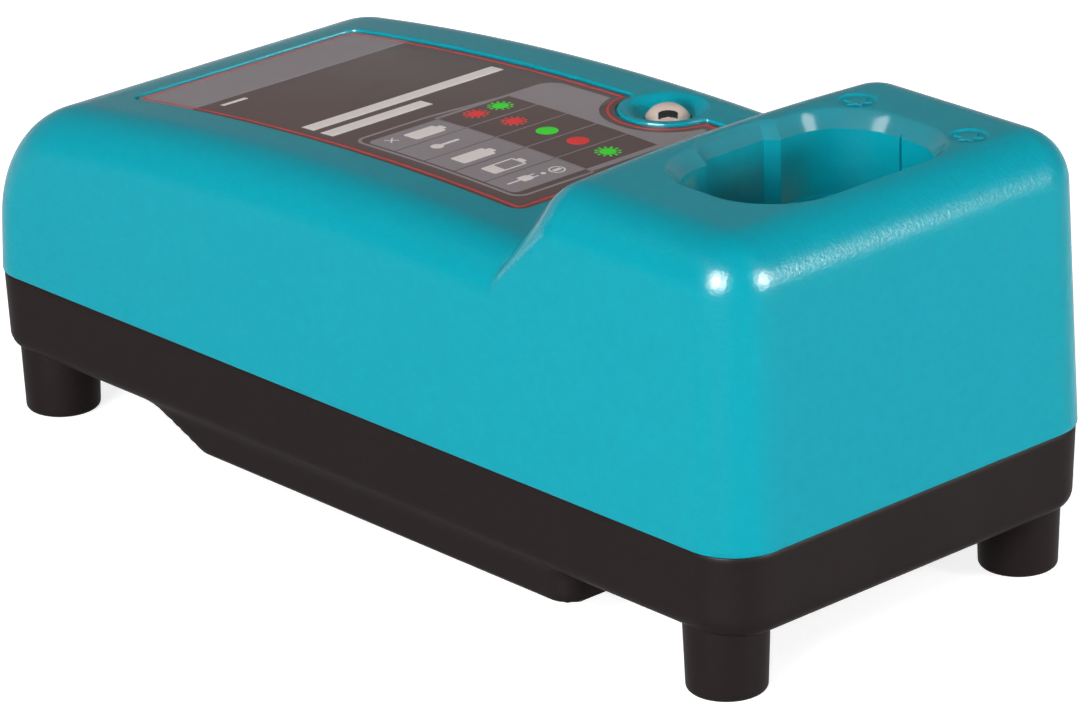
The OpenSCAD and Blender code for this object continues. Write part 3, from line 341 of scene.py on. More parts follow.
# Name, colour, roughness, metal, pits per metre, depth in millimetres and tone
for row in (
        ("zinc_steel", (0.52, 0.53, 0.53), 0.32, 1.0, 3500, 0.01),
        ("copper_wire", (0.55, 0.2, 0.07), 0.28, 1.0, 3000, 0.01),
        ("tinned_brass", (0.56, 0.56, 0.53), 0.3, 1.0, 2500, 0.01),
        ("glass_fibre_board", (0.015, 0.13, 0.05), 0.35, 0.0, 1200, 0.01, 0.15),
        ("ferrite", (0.035, 0.035, 0.04), 0.6, 0.0, 3000, 0.05, 0.15),
        ("black_moulding", (0.012, 0.012, 0.013), 0.4, 0.0, 3000, 0.02, 0.1),
        ("gland_rubber", (0.012, 0.012, 0.012), 0.55, 0.0, 2800, 0.03, 0.1),
        ("capacitor_sleeve", (0.01, 0.014, 0.045), 0.22, 0.0, 1500, 0.01),
        ("yellow_tape", (0.62, 0.36, 0.02), 0.3, 0.0, 1500),
        ("blue_coating", (0.02, 0.09, 0.34), 0.25, 0.0, 900, 0.05),
        ("choke_coating", (0.04, 0.16, 0.065), 0.4, 0.0, 2500, 0.03),
        ("insulating_film", (0.6, 0.56, 0.4), 0.3, 0.0, 2500, 0.01),
        ("lamp_resin", (0.75, 0.74, 0.7), 0.25, 0.0, 2500, 0.005),
        ("yellow_box", (0.62, 0.48, 0.04), 0.3), ("relay_case", (0.01, 0.045, 0.22), 0.3),
        ("white_nylon", (0.72, 0.7, 0.63), 0.42), ("wire_insulation", (0.42, 0.015, 0.015), 0.35),
        ("grey_ribbon", (0.42, 0.42, 0.4), 0.4), ("resistor_coat", (0.42, 0.27, 0.12), 0.4)):
    finish(*row)
print(len(FINISHES), "opaque finishes")

# %% [markdown]
# The lens over the status lamp and the fuse's tube are clear. Clear plastic needs transmission and
# keeps a plain metallic of nought.

# %% Clear finishes
finish("clear_lens", (0.93, 0.84, 0.82), 0.08, **SMOOTH, Transmission_Weight=0.75, IOR=1.49)
finish("fuse_glass", (0.9, 0.93, 0.93), 0.03, **SMOOTH, Transmission_Weight=0.9, IOR=1.49)
print(len(FINISHES), "finishes")

# %% [markdown]
# The board, the transformer, the contacts and the other inner pieces already have their shapes from
# the construction, so they are carried over as they are. Each takes the finish that its slot names,
# such as drawn brass for the contacts and zinc for the screws.

# %% Every carried-over node gets its finish
slots = {part["node"]: part["material_slot"] for part in frame["record"]["subparts"]}
for node, obj in frame["nodes"].items():
    for k in range(max(1, len(obj.material_slots))):
        if not obj.material_slots:
            obj.data.materials.append(None)
        obj.material_slots[k].material = FINISHES[slots[node]]
print("nodes finished:", len(slots))

# %% [markdown]
# ## The casing's form
# Seen from the side, the deck is a shallow arch that turns down at the cord end in a wide curve, and
# the pod is a block with a flat top and a sloping step. All walls lean in a little, as a moulded
# shell must to leave its mould. Rounded blends like these are hard to model by hand but easy to
# write down: each wall is a signed distance, and two walls meet in a corner of a set radius. The
# skin is then laid on the surface where the distance is nought.

# %% Sizes of the casing
BODY_L, BODY_W, TOP = 226.0, 100.0, 91.4
SEAM_Z, BASE_Z = 31.0, 13.8
DECK_Z, ARCH_R, CROWN_X = 76.6, 720.0, 10.0
EDGE_R, TAIL_R, PLAN_R = 11.0, 28.0, 11.0
DRAFT = math.radians(1.7)
POD_X, STEP_SLOPE, STEP_BOW, STEP_FILLET = 64.5, math.radians(60), 2.0, 1.4
# The step's side edges have a small radius below SHARP_DEPTH under the top, and above SOFT_DEPTH the
# pod's own
STEP_EDGE_R, SHARP_DEPTH, SOFT_DEPTH = 3.0, 21.0, 6.0
# A place counts as the step once the pod's slope along X passes STEP_RUN, and fully a little later
STEP_RUN, STEP_RUN_FADE = 0.3, 0.45
WALL = 2.5
ARCH_Z = DECK_Z - ARCH_R
# The cosine between the arch's and the cord end's normals, and where the deck ends inside the pod
TAIL_LEAN, DECK_STOP_X = 0.168, 85
# The boxes in which the skins are laid, and the sizes of their cells
UPPER_BOX, UPPER_CELL = ((-116, -53, 24), (116, 53, 95)), 1.25
LOWER_BOX, LOWER_CELL = ((-116, -53, 4), (116, 53, 36)), 1.2
CAVITY_BOX, HOLLOW_BOX, INNER_CELL = ((-114, -50, 20), (114, 50, 92)), ((-114, -50, 8), (114, 50, 38)), 2.6


def deck_z(x):
    return ARCH_Z + np.sqrt(ARCH_R ** 2 - (np.asarray(x, float) - CROWN_X) ** 2)


def half_l(z):
    return BODY_L / 2 - (z - SEAM_Z) * math.tan(DRAFT)


def half_w(z):
    return BODY_W / 2 - (z - SEAM_Z) * math.tan(DRAFT)


# %% Signed distances and rounded corners
def corner(a, b, r, lean=0.0):
    """Keeps what is inside both walls, with their corner rounded to r. lean is the cosine of the
    angle between the walls' outward normals, and it is 0 where they are square to each other."""
    a, b = a + r, b + r
    k = 1 / (1 - lean * lean)
    u, v = (a - lean * b) * k, (b - lean * a) * k
    reach = np.sqrt(np.maximum(u * u + v * v + 2 * lean * u * v, 0))
    return np.where((u > 0) & (v > 0), reach, np.maximum(a, b)) - r


def blend(a, b, r, lean=0.0):
    """Keeps what is inside either form, with a fillet of radius r between them."""
    return -corner(-a, -b, r, lean)


def deck_view(x, z):
    """The deck, as seen from the side."""
    arch = np.hypot(x - CROWN_X, z - ARCH_Z) - ARCH_R
    cord_end = (-x - half_l(z)) * math.cos(DRAFT)
    return np.maximum(corner(arch, cord_end, TAIL_R, TAIL_LEAN), x - DECK_STOP_X)


def pod_view(x, y, z):
    """The pod, as seen from the side, with the bow of its step."""
    bow = STEP_BOW * np.maximum(0, 1 - (y / (half_w(z) - EDGE_R)) ** 2)
    step = (-math.sin(STEP_SLOPE) * (x + bow - POD_X) + math.cos(STEP_SLOPE) * (z - TOP + EDGE_R)
            - EDGE_R)
    pod_end = (x - half_l(z)) * math.cos(DRAFT)
    return corner(corner(z - TOP, pod_end, EDGE_R, math.sin(DRAFT)), step, EDGE_R, math.cos(STEP_SLOPE))


def side_share(view, sides, r):
    """How far a rounded edge faces the long side: 0 on the view's face, 1 on the side."""
    u, v = np.maximum(view + r, 0), np.maximum(sides + r, 0)
    return v / np.maximum(np.hypot(u, v), 1e-6)


def upper_form(x, y, z):
    """Distance to the upper shell's outside, negative inside. The step's side edges sharpen downwards."""
    h = 0.05
    sides = (np.abs(y) - half_w(z)) * math.cos(DRAFT)
    deck, pod = deck_view(x, z), pod_view(x, y, z)
    deck_rise = (deck_view(x, z + h) - deck_view(x, z - h)) / (2 * h)
    pod_rise = (pod_view(x, y, z + h) - pod_view(x, y, z - h)) / (2 * h)
    pod_run = (pod_view(x + h, y, z) - pod_view(x - h, y, z)) / (2 * h)
    on_step = np.clip((-pod_run - STEP_RUN) / STEP_RUN_FADE, 0, 1)
    step_r = np.interp(z, (TOP - SHARP_DEPTH, TOP - SOFT_DEPTH), (STEP_EDGE_R, EDGE_R))
    pod_r = EDGE_R + (step_r - EDGE_R) * on_step ** 2 * (3 - 2 * on_step)
    shares = side_share(deck, sides, PLAN_R), side_share(pod, sides, pod_r)
    alike = shares[0] * shares[1] + 0.45 * np.sqrt((1 - shares[0] ** 2) * (1 - shares[1] ** 2))
    return blend(corner(deck, sides, PLAN_R, np.clip(deck_rise, -1, 1) * math.sin(DRAFT)),
                 corner(pod, sides, pod_r, np.clip(pod_rise, -1, 1) * math.sin(DRAFT)),
                 STEP_FILLET, np.clip(alike, 0, 0.985))


# %% [markdown]
# The skin is laid by surface nets: a grid is put over the form, every cell that the surface crosses
# gets one point, and neighbours are joined by squares. The points are then evened out along the
# surface and pulled exactly onto it, so that gloss runs over it without ripples.

# %% Laying a skin
def slopes(field, p, h=0.02):
    step = np.eye(3) * h
    return np.stack([(field(*(p + s).T) - field(*(p - s).T)) / (2 * h) for s in step], 1)


def pull(field, p, rounds=3):
    for _ in range(rounds):
        g = slopes(field, p)
        p = p - (field(*p.T) / np.maximum((g * g).sum(1), 1e-6))[:, None] * g
    return p


def skin(name, field, low, high, cell, relax=6):
    """A quad mesh on the surface where field is nought, inside the box from low to high."""
    low, high = np.array(low, float), np.array(high, float)
    count = np.ceil((high - low) / cell).astype(int) + 1
    grid = np.meshgrid(*[low[k] + cell * np.arange(count[k]) for k in range(3)], indexing="ij")
    value = field(*grid)
    inside = value < 0
    nx, ny, nz = count
    corners = [(a, b, c) for a in (0, 1) for b in (0, 1) for c in (0, 1)]
    part = {k: (slice(k[0], nx - 1 + k[0]), slice(k[1], ny - 1 + k[1]), slice(k[2], nz - 1 + k[2]))
            for k in corners}
    filled = sum(inside[part[k]].astype(int) for k in corners)
    active = (filled > 0) & (filled < 8)
    index = np.full(active.shape, -1)
    index[active] = np.arange(active.sum())
    cells = np.argwhere(active)
    total = np.zeros((len(cells), 3))
    hits = np.zeros(len(cells))
    for a in corners:
        for axis in range(3):
            if a[axis]:
                continue
            b = list(a)
            b[axis] = 1
            fa, fb = value[part[a]][active], value[part[tuple(b)]][active]
            crossed = (fa < 0) != (fb < 0)
            share = np.where(crossed, fa / np.where(crossed, fa - fb, 1), 0)
            point = cells + np.array(a, float)
            point[:, axis] += share
            total += np.where(crossed[:, None], point, 0)
            hits += crossed
    points = low + cell * total / hits[:, None]
    quads = []
    for axis in range(3):
        b, c = (axis + 1) % 3, (axis + 2) % 3
        lead = [slice(1, -1)] * 3
        lead[axis] = slice(0, -1)
        tail = list(lead)
        tail[axis] = slice(1, None)
        first, last = inside[tuple(lead)], inside[tuple(tail)]
        for flip in (False, True):
            where = np.argwhere(first & ~last if not flip else ~first & last)
            where[:, b] += 1
            where[:, c] += 1
            ring = []
            for db, dc in ((0, 0), (1, 0), (1, 1), (0, 1)):
                at = where.copy()
                at[:, b] -= 1 - db
                at[:, c] -= 1 - dc
                ring.append(index[tuple(at.T)])
            ring = np.stack(ring, 1)
            quads.append(ring[:, ::-1] if flip else ring)
    quads = np.concatenate(quads)
    quads = quads[(quads >= 0).all(1)]
    edges = np.unique(np.sort(np.concatenate([quads[:, [k, (k + 1) % 4]] for k in range(4)]), 1), axis=0)
    degree = np.bincount(edges.ravel(), minlength=len(points))
    points = pull(field, points)
    for _ in range(relax):
        mean = np.zeros_like(points)
        np.add.at(mean, edges[:, 0], points[edges[:, 1]])
        np.add.at(mean, edges[:, 1], points[edges[:, 0]])
        points = pull(field, points + 0.5 * (mean / degree[:, None] - points), 1)
    points = pull(field, points, 2)
    print(name, len(points), "points", len(quads), "squares")
    return make_mesh(name, points, quads, True)


# %% [markdown]
# The skin is made a little longer than the shell, trimmed level above the joint, and finished with
# two rings that turn its lower edge in, so that a fine groove shows where the two shells meet.

# %% Trimming a skin at the joint
SHORT_EDGE = 0.35


def trimmed(obj, field, z_cut, rings, keep_above=True):
    """Trims a skin at z_cut and closes it with rings of (height, set-in), the last one filled."""
    bm = bmesh.new()
    bm.from_mesh(obj.data)
    side = {"clear_inner": True} if keep_above else {"clear_outer": True}
    bmesh.ops.bisect_plane(bm, geom=bm.verts[:] + bm.edges[:] + bm.faces[:], dist=0.02 * MM,
                           plane_co=(0, 0, z_cut * MM), plane_no=(0, 0, 1), **side)
    rim = [e for e in bm.edges if e.is_boundary]
    for _ in range(3):
        short = [e for e in rim if e.calc_length() < SHORT_EDGE * MM]
        if not short:
            break
        bmesh.ops.collapse(bm, edges=short)
        rim = [e for e in bm.edges if e.is_boundary]
    verts = sorted({v for e in rim for v in e.verts}, key=lambda v: v.index)
    at = np.array([v.co for v in verts]) / MM
    at[:, 2] = z_cut
    for _ in range(3):
        g = slopes(field, at)
        g[:, 2] = 0
        at -= (field(*at.T) / (g * g).sum(1))[:, None] * g
    out = slopes(field, at)[:, :2]
    out /= np.linalg.norm(out, axis=1)[:, None]
    for v, p in zip(verts, at):
        v.co = Vector(p) * MM
    place = {v: k for k, v in enumerate(verts)}
    last = verts
    for z, inset in rings:
        ring = [bm.verts.new(Vector((*(at[k, :2] - inset * out[k]), z)) * MM) for k in range(len(verts))]
        for e in rim:
            a, b = place[e.verts[0]], place[e.verts[1]]
            bm.faces.new((last[a], last[b], ring[b], ring[a]))
        last = ring
    bm.edges.ensure_lookup_table()
    bmesh.ops.holes_fill(bm, edges=[e for e in bm.edges if e.is_boundary], sides=0)
    bmesh.ops.recalc_face_normals(bm, faces=bm.faces)
    bm.to_mesh(obj.data)
    bm.free()
    obj.data.shade_smooth()
    return obj


# Where the skin is trimmed, and the rings that turn its edge in
UPPER_TRIM_Z, UPPER_LIP = 31.45, [(31.15, 0.12), (SEAM_Z, 0.6)]
upper = trimmed(skin("upper_shell", upper_form, *UPPER_BOX, UPPER_CELL), upper_form, UPPER_TRIM_Z, UPPER_LIP)
print("upper shell", len(upper.data.polygons), "faces")

# %% [markdown]
# ## The battery well
# The well's plan is a rectangle with very round corners, narrower below a ledge, and its mouth
# slopes outwards to guide the battery in. A keyway in the wall towards the deck lets the battery in
# one way round only. Each is a loft of rings that is cut out of the shell.

# %% Sizes of the well
WELL_X, WELL_L, WELL_W, WELL_R = 82.9, 32.2, 50.5, 12.8
WELL_FLOOR, LEDGE_Z, LEDGE_W = TOP - 50, TOP - 16.8, 0.8
LEAD_W, LEAD_H = 2.6, 3.3
KEY_W, KEY_D, KEY_Y = 15.2, 2.3, -1.0
SLEEVE = 2.0


def rounded(length, width, r, centre=(0, 0), arc=12):
    """The plan of a rectangle with round corners, anticlockwise."""
    plan = []
    for k, (sx, sy) in enumerate(((1, 1), (-1, 1), (-1, -1), (1, -1))):
        for t in np.linspace(k * math.pi / 2, (k + 1) * math.pi / 2, arc):
            plan.append((centre[0] + sx * (length / 2 - r) + r * math.cos(t),
                         centre[1] + sy * (width / 2 - r) + r * math.sin(t)))
    return np.array(plan)


def well_plan(out):
    return rounded(WELL_L + 2 * out, WELL_W + 2 * out, WELL_R + out, (WELL_X, 0), 20)


MOUTH = [(LEDGE_Z - 0.5, -LEDGE_W), (LEDGE_Z - 0.12, -LEDGE_W + 0.12), (LEDGE_Z, -LEDGE_W + 0.5),
         (LEDGE_Z, -0.01), (TOP - LEAD_H, 0.0)]
MOUTH += [(TOP - LEAD_H + t * LEAD_H, t * LEAD_W) for t in (0.3, 0.6, 0.9)]
MOUTH += [(TOP - 0.16, LEAD_W - 0.08), (TOP - 0.05, LEAD_W + 0.08), (TOP - 0.01, LEAD_W + 0.26),
          (TOP + 1, LEAD_W + 0.3)]
BOTTOM = [(WELL_FLOOR, -LEDGE_W - 0.5), (WELL_FLOOR + 0.15, -LEDGE_W - 0.12),
          (WELL_FLOOR + 0.6, -LEDGE_W)]
well = loft("well", [at_height(well_plan(out), z) for z, out in BOTTOM + MOUTH])


def key_plan(out):
    """A flat with a bevel on both sides; its open end lies inside the well."""
    x0 = WELL_X - WELL_L / 2
    flat = KEY_W / 2 + out * math.tan(math.radians(22.5))
    reach = flat + KEY_D + out + 6
    back = x0 - KEY_D - out
    ends = [(x0 + 6, -reach), (x0 + 6, reach), (back, flat), (back, -flat)]
    return np.array([(x, KEY_Y + y) for x, y in ends])


KEY_MOUTH = [(LEDGE_Z, 0)] + [(z, out) for z, out in MOUTH if z > LEDGE_Z + 1]
key = loft("key", [at_height(key_plan(out), z) for z, out in KEY_MOUTH])
GROOVE_W = 0.6
groove = box_mm("groove", (WELL_X - GROOVE_W / 2, 0, LEDGE_Z),
                (WELL_X + GROOVE_W / 2, WELL_W / 2 + GROOVE_W, TOP + 1))
print("well rings", len(BOTTOM + MOUTH))

# %% [markdown]
# ## The inside of the shell
# The shell is an even wall thick. The same distance gives the cavity: it is the surface a wall's
# thickness further in. The well's sleeve and the screw bosses are left standing in it.

# %% Cavity, sleeve and bosses
FOOT_X, FOOT_Y = 100.5, 40.0
AT_FEET = [(x, y) for x in (-FOOT_X, FOOT_X) for y in (-FOOT_Y, FOOT_Y)]
SCREW_SEAT_Z = BASE_Z + WALL + 2.5
BOSS_R, BOSS_Z = 4.0, SCREW_SEAT_Z + 4


def thinned(form):
    """The same form, a wall's thickness further in."""
    return lambda x, y, z: form(x, y, z) + WALL


cavity = trimmed(skin("cavity", thinned(upper_form), *CAVITY_BOX, INNER_CELL, 2), thinned(upper_form),
                 SEAM_Z - 2, [(SEAM_Z - 2.4, 0.0)])
sleeve_plan = rounded(WELL_L + 2 * (SLEEVE + KEY_D), WELL_W + 2 * SLEEVE, WELL_R, (WELL_X, 0), 20)
cut(cavity, loft("sleeve", [at_height(sleeve_plan, z) for z in (WELL_FLOOR - SLEEVE, TOP + 2)]))
for at in AT_FEET:
    cut(cavity, turned("boss", [(BOSS_R, BOSS_Z), (BOSS_R, TOP + 2)], at, 32))
cut(upper, cavity, well, key, groove)
print("hollow shell", len(upper.data.polygons), "faces")

# %% [markdown]
# The contacts reach the battery through a window in the far wall of the well. A plain box cuts it
# out, because its edges lie in the dark and need no rounding.

# %% Window for the contacts
WINDOW_W, WINDOW_Z = 23.2, WELL_FLOOR + 5
cut(upper, box_mm("window", (WELL_X - WINDOW_W / 2, 5, WINDOW_Z),
                  (WELL_X + WINDOW_W / 2, WELL_W / 2 + SLEEVE + 1, LEDGE_Z)))
print("window", WINDOW_W, "by", round(LEDGE_Z - WINDOW_Z, 1), "mm")

# %% [markdown]
# ## The label's recess, the lens's dish and the round marks
# The label lies in a shallow recess that follows the arch. Its plan is kept as two edges, near and
# far, at common places along the deck, because the arch is straight from one edge to the other. At
# its pod end the far edge leaves a round bite for the dish of the status lens.

# %% The label's two edges
LABEL_L, LABEL_W, LABEL_R, LABEL_X = 118.6, 60.4, 2.5, -24.7
RECESS, FILM = 0.9, 0.4
LENS_X, LENS_Y, LENS_D = 13.4, 29.8, 9.2
DISH_D, DISH_DEPTH, BITE_R, BITE_EDGE_R = 17.0, 2.2, 10.6, 1.2


def label_edges(inset=0.0):
    """Places along the deck, with the near and far edge there of the label or of a line inside it."""
    x0, x1 = LABEL_X - LABEL_L / 2 + inset, LABEL_X + LABEL_L / 2 - inset
    half = LABEL_W / 2 - inset
    r, bite_r, edge_r = LABEL_R - inset, BITE_R + inset, max(BITE_EDGE_R - inset, 0.3)
    soft_y = half - edge_r
    reach = math.sqrt((bite_r + edge_r) ** 2 - (soft_y - LENS_Y) ** 2)
    touch = reach * bite_r / (bite_r + edge_r)
    end = r * (1 - np.cos(np.linspace(0, math.pi / 2, 7)))
    turn = edge_r * np.sin(np.linspace(0, math.pi / 2, 7))
    sweep = touch * np.sin(np.linspace(-math.pi / 2, math.pi / 2, 37))
    xs = np.unique(np.round(np.concatenate([
        x0 + end, x1 - end, np.arange(x0 + r, x1 - r, 1.5), LENS_X + sweep,
        LENS_X - reach + turn, LENS_X + reach - turn]), 3))
    xs = xs[np.concatenate([[True], np.diff(xs) > 0.015])]
    away = np.clip(np.minimum(xs - x0, x1 - xs), 0, r)
    straight = half - r + np.sqrt(r ** 2 - (r - away) ** 2)
    u = np.abs(xs - LENS_X)
    bite = LENS_Y - np.sqrt(np.maximum(bite_r ** 2 - u * u, 0))
    soft = soft_y + np.sqrt(np.maximum(edge_r ** 2 - (reach - u) ** 2, 0))
    far = np.where(u < touch, bite, np.where(u < reach, soft, straight))
    return xs, -straight, np.minimum(far, straight)


def pushed(loop, out):
    """A plan loop moved outwards by out, square to its own edges."""
    ahead, behind = np.roll(loop, -1, 0) - loop, loop - np.roll(loop, 1, 0)
    ahead, behind = (v / np.maximum(np.linalg.norm(v, axis=1), 1e-9)[:, None] for v in (ahead, behind))
    along = ahead + behind
    along /= np.linalg.norm(along, axis=1)[:, None]
    length = 1 / np.maximum((along * ahead).sum(1), 0.6)
    return loop + out * length[:, None] * np.column_stack([along[:, 1], -along[:, 0]])


def label_loop(out=0.0, inset=0.0):
    xs, near, far = label_edges(inset)
    loop = np.concatenate([np.column_stack([xs, near]), np.column_stack([xs, far])[::-1]])
    return pushed(loop, out) if out else loop


def on_deck(plan, height):
    plan = np.asarray(plan, float)
    return np.column_stack([plan, deck_z(plan[:, 0]) + height])


def label_slab(name, levels, smooth=False):
    """A closed slab with the label's plan, from levels of (height over the deck, out), lowest first."""
    rings = [on_deck(label_loop(out), height) for height, out in levels]
    n = len(rings[0])
    ends = [[base + i, base + i + 1, base + n - 2 - i, base + n - 1 - i]
            for base in (0, (len(rings) - 1) * n) for i in range(n // 2 - 1)]
    return outwards(make_mesh(name, np.concatenate(rings), bands(len(rings), n) + ends, smooth))


RECESS_LEVELS = [(-RECESS, 0.25), (-RECESS + 0.12, 0.36), (-RECESS + 0.3, 0.4), (-0.35, 0.41),
                 (-0.12, 0.5), (-0.01, 0.78), (1.5, 0.85)]
cut(upper, label_slab("recess", RECESS_LEVELS))
print("label edge points", len(label_edges()[0]))

# %% Dish, lens hole and round marks
lens_deck = float(deck_z(LENS_X))
dish_z = lens_deck - DISH_DEPTH
seat_z = dish_z - WALL
cut(upper,
    turned("dish", [(LENS_D / 2 + 1.0, dish_z), (LENS_D / 2 + 1.5, dish_z + 0.1),
                    (DISH_D / 2 - 0.35, lens_deck - 0.32), (DISH_D / 2 + 0.15, lens_deck - 0.06),
                    (DISH_D / 2 + 0.7, lens_deck + 0.02), (DISH_D / 2 + 0.8, lens_deck + 2)],
           (LENS_X, LENS_Y), 96),
    turned("lens_hole", [(LENS_D / 2 + 0.1, seat_z - 6), (LENS_D / 2 + 0.1, dish_z - 0.3),
                         (LENS_D / 2 + 0.3, dish_z - 0.05), (LENS_D / 2 + 0.4, dish_z + 1)],
           (LENS_X, LENS_Y), 96))
MARK_D, MARK_PITCH, MARK_Y, MARK_DEPTH = 8.0, 29.5, 28.6, 0.4
STAR_OUTER, STAR_INNER = 2.9, 1.5


def star(points, outer, inner, centre):
    plan = []
    for k in range(points * 2):
        r, a = (outer, inner)[k % 2], k * math.pi / points
        plan.append((centre[0] + r * math.sin(a), centre[1] + r * math.cos(a)))
    return np.array(plan)[::-1]


for x in (WELL_X - MARK_PITCH / 2, WELL_X + MARK_PITCH / 2):
    r = MARK_D / 2
    mark = turned("mark", [(r - 0.5, TOP - MARK_DEPTH), (r - 0.2, TOP - MARK_DEPTH + 0.12),
                           (r - 0.08, TOP - 0.15), (r + 0.1, TOP - 0.02), (r + 0.15, TOP + 1)],
                  (x, MARK_Y), 64)
    rosette = loft("rosette", [at_height(star(6, STAR_OUTER - d, STAR_INNER - d, (x, MARK_Y)), z)
                               for z, d in ((TOP - 3, 0), (TOP - 0.2, 0), (TOP - 0.08, 0.12))])
    cut(upper, cut(mark, rosette))
print("dish at", round(lens_deck, 2), "mm")

# %% [markdown]
# ## The lower shell
# A shallow tray with a rounded lower edge, a sump under the board that starts with a ramp at the
# cord end, and four cone feet that hide the casing screws. Its form is written down in the same way.

# %% The lower shell's form
SET_BACK, BASE_LEAN, BASE_EDGE_R = 0.3, 0.4, 3.2
SUMP_X0, SUMP_X1, SUMP_RAMP, SUMP_W, SUMP_Z, SUMP_R = -45.5, 64.5, 16.0, 95.0, BASE_Z - 7.2, 5.0
SUMP_LEAN, SUMP_EDGE_R, RAMP_R, SUMP_FILLET = 0.5, 1.4, 3.0, 0.8


def tray(x, y, z):
    lean = (z - BASE_Z - BASE_EDGE_R) / (SEAM_Z - BASE_Z - BASE_EDGE_R) * BASE_LEAN
    across = [np.abs(v) - (size / 2 - BASE_LEAN - SET_BACK + lean) for v, size in ((x, BODY_L), (y, BODY_W))]
    plan = corner(*across, PLAN_R - SET_BACK)
    return corner(plan, BASE_Z - z, BASE_EDGE_R)


def sump(x, y, z):
    sides = np.abs(y) - (SUMP_W / 2 - SUMP_LEAN * (1 - (z - SUMP_Z) / (BASE_Z - SUMP_Z)))
    plan = corner(x - SUMP_X1, sides, SUMP_R)
    slope = math.hypot(SUMP_RAMP, BASE_Z - SUMP_Z)
    ramp = (-(BASE_Z - SUMP_Z) * (x - SUMP_X0) - SUMP_RAMP * (z - SUMP_Z)) / slope
    floor = corner(SUMP_Z - z, ramp, RAMP_R, SUMP_RAMP / slope)
    return np.maximum(corner(plan, floor, SUMP_EDGE_R), z - SEAM_Z + 6)


def lower_form(x, y, z):
    return blend(tray(x, y, z), sump(x, y, z), SUMP_FILLET)


LOWER_TRIM_Z, LOWER_LIP = 30.7, [(30.86, 0.08), (SEAM_Z, 0.5)]
lower = trimmed(skin("lower_shell", lower_form, *LOWER_BOX, LOWER_CELL), lower_form, LOWER_TRIM_Z, LOWER_LIP,
                keep_above=False)
print("lower shell", len(lower.data.polygons), "faces")

# %% [markdown]
# The feet are one shape set on four points, so Geometry Nodes place them: a revolved foot goes in as
# an object, and the tree sets a copy on every point of a grid. The same tree sets the screw wells and
# the two rows of vents, with its own sizes for each.

# %% A tree that sets a piece on the points of a grid
def grid_tree():
    """Two rows of Count pieces, Length long and Width apart, about Middle."""
    tree, net, src, dst = new_group(
        "set_on_grid", [("Piece", "Object"), ("Count", "Int"), ("Length", "Float"), ("Width", "Float"),
                        ("Middle", "Vector"), ("Finish", "Material")],
        [("Geometry", "Geometry")], "GeometryNodeTree")
    grid, move, piece, place, real, coat = (net.add("GeometryNode" + kind) for kind in (
        "MeshGrid", "Transform", "ObjectInfo", "InstanceOnPoints", "RealizeInstances", "SetMaterial"))
    grid.inputs["Vertices Y"].default_value = 2
    net.chain((src, "Count", grid, "Vertices X"), (src, "Length", grid, "Size X"),
              (src, "Width", grid, "Size Y"), (grid, "Mesh", move, "Geometry"),
              (src, "Middle", move, "Translation"),
              (src, "Piece", piece, "Object"), (move, "Geometry", place, "Points"),
              (piece, "Geometry", place, "Instance"), (place, "Instances", real, "Geometry"),
              (real, "Geometry", coat, "Geometry"), (src, "Finish", coat, "Material"),
              (coat, "Geometry", dst, "Geometry"))
    return tree


GRID = grid_tree()


def set_on_grid(name, piece, **values):
    """A plain mesh object of copies, from the tree and its named inputs; the piece is used up."""
    values |= {"Piece": piece, "Finish": FINISHES["black_plastic"]}
    obj = make_mesh(name, [(0, 0, 0)], [])
    mod = obj.modifiers.new(name, "NODES")
    mod.node_group = GRID
    for item in GRID.interface.items_tree:
        if item.in_out == "INPUT" and item.name in values:
            mod[item.identifier] = values[item.name]
    baked(obj)
    bpy.data.objects.remove(piece)
    return obj


def at_feet(name, piece):
    return set_on_grid(name, piece, Count=2, Length=2 * FOOT_X * MM, Width=2 * FOOT_Y * MM)


FOOT_TOP_D, FOOT_BOTTOM_D, FOOT_ROUND = 16.8, 15.8, 1.0
foot_r = FOOT_BOTTOM_D / 2
foot_profile = [(foot_r - FOOT_ROUND * (1 - math.sin(t)), FOOT_ROUND * (1 - math.cos(t)))
                for t in np.linspace(0, math.pi / 2, 6)]
foot_profile.append((FOOT_TOP_D / 2, BASE_Z + 2))
combine(lower, at_feet("feet", turned("foot", foot_profile, segments=96)), "UNION")
print("lower shell with feet", len(lower.data.polygons), "faces")

# %% [markdown]
# The tray is hollow like the upper shell, with a column round each casing screw. The screws go in
# through the feet, so each foot has a deep round well, and air comes in through two rows of slots
# under the board. Their lower edges are eased, as a mould leaves them.

# %% The lower shell's inside, vents and screw wells
SCREW_WELL_D, SCREW_D, COLUMN_R = 7.0, 3.0, BOSS_R + 1.2
tray_hollow = trimmed(skin("tray_hollow", thinned(lower_form), *HOLLOW_BOX, INNER_CELL, 2),
                      thinned(lower_form), SEAM_Z + 1, [(SEAM_Z + 1.5, 0.0)], keep_above=False)
for at in AT_FEET:
    cut(tray_hollow, turned("column", [(COLUMN_R, 2), (COLUMN_R, BOSS_Z)], at, 32))
cut(lower, tray_hollow)
VENT_W, VENT_L, VENT_PITCH, VENT_COUNT, VENT_ROWS_APART = 2.4, 16.0, 9.0, 9, 2 * SUMP_W / 5
BOARD_X = (SUMP_X0 + SUMP_X1) / 2 - 0.7
SLOT_LEVELS = [(SUMP_Z - 3, 0.4), (SUMP_Z - 0.02, 0.35), (SUMP_Z + 0.35, 0), (SUMP_Z + 3, 0)]
slot = loft("slot", [at_height(rounded(VENT_W + 2 * g, VENT_L + 2 * g, VENT_W / 2 - 0.01 + g, arc=7), z)
                     for z, g in SLOT_LEVELS])
vents = set_on_grid("vents", slot, Count=VENT_COUNT, Length=(VENT_COUNT - 1) * VENT_PITCH * MM,
                    Width=VENT_ROWS_APART * MM, Middle=(BOARD_X * MM, 0, 0))
well_r, hole_r = SCREW_WELL_D / 2, SCREW_D / 2 + 0.2
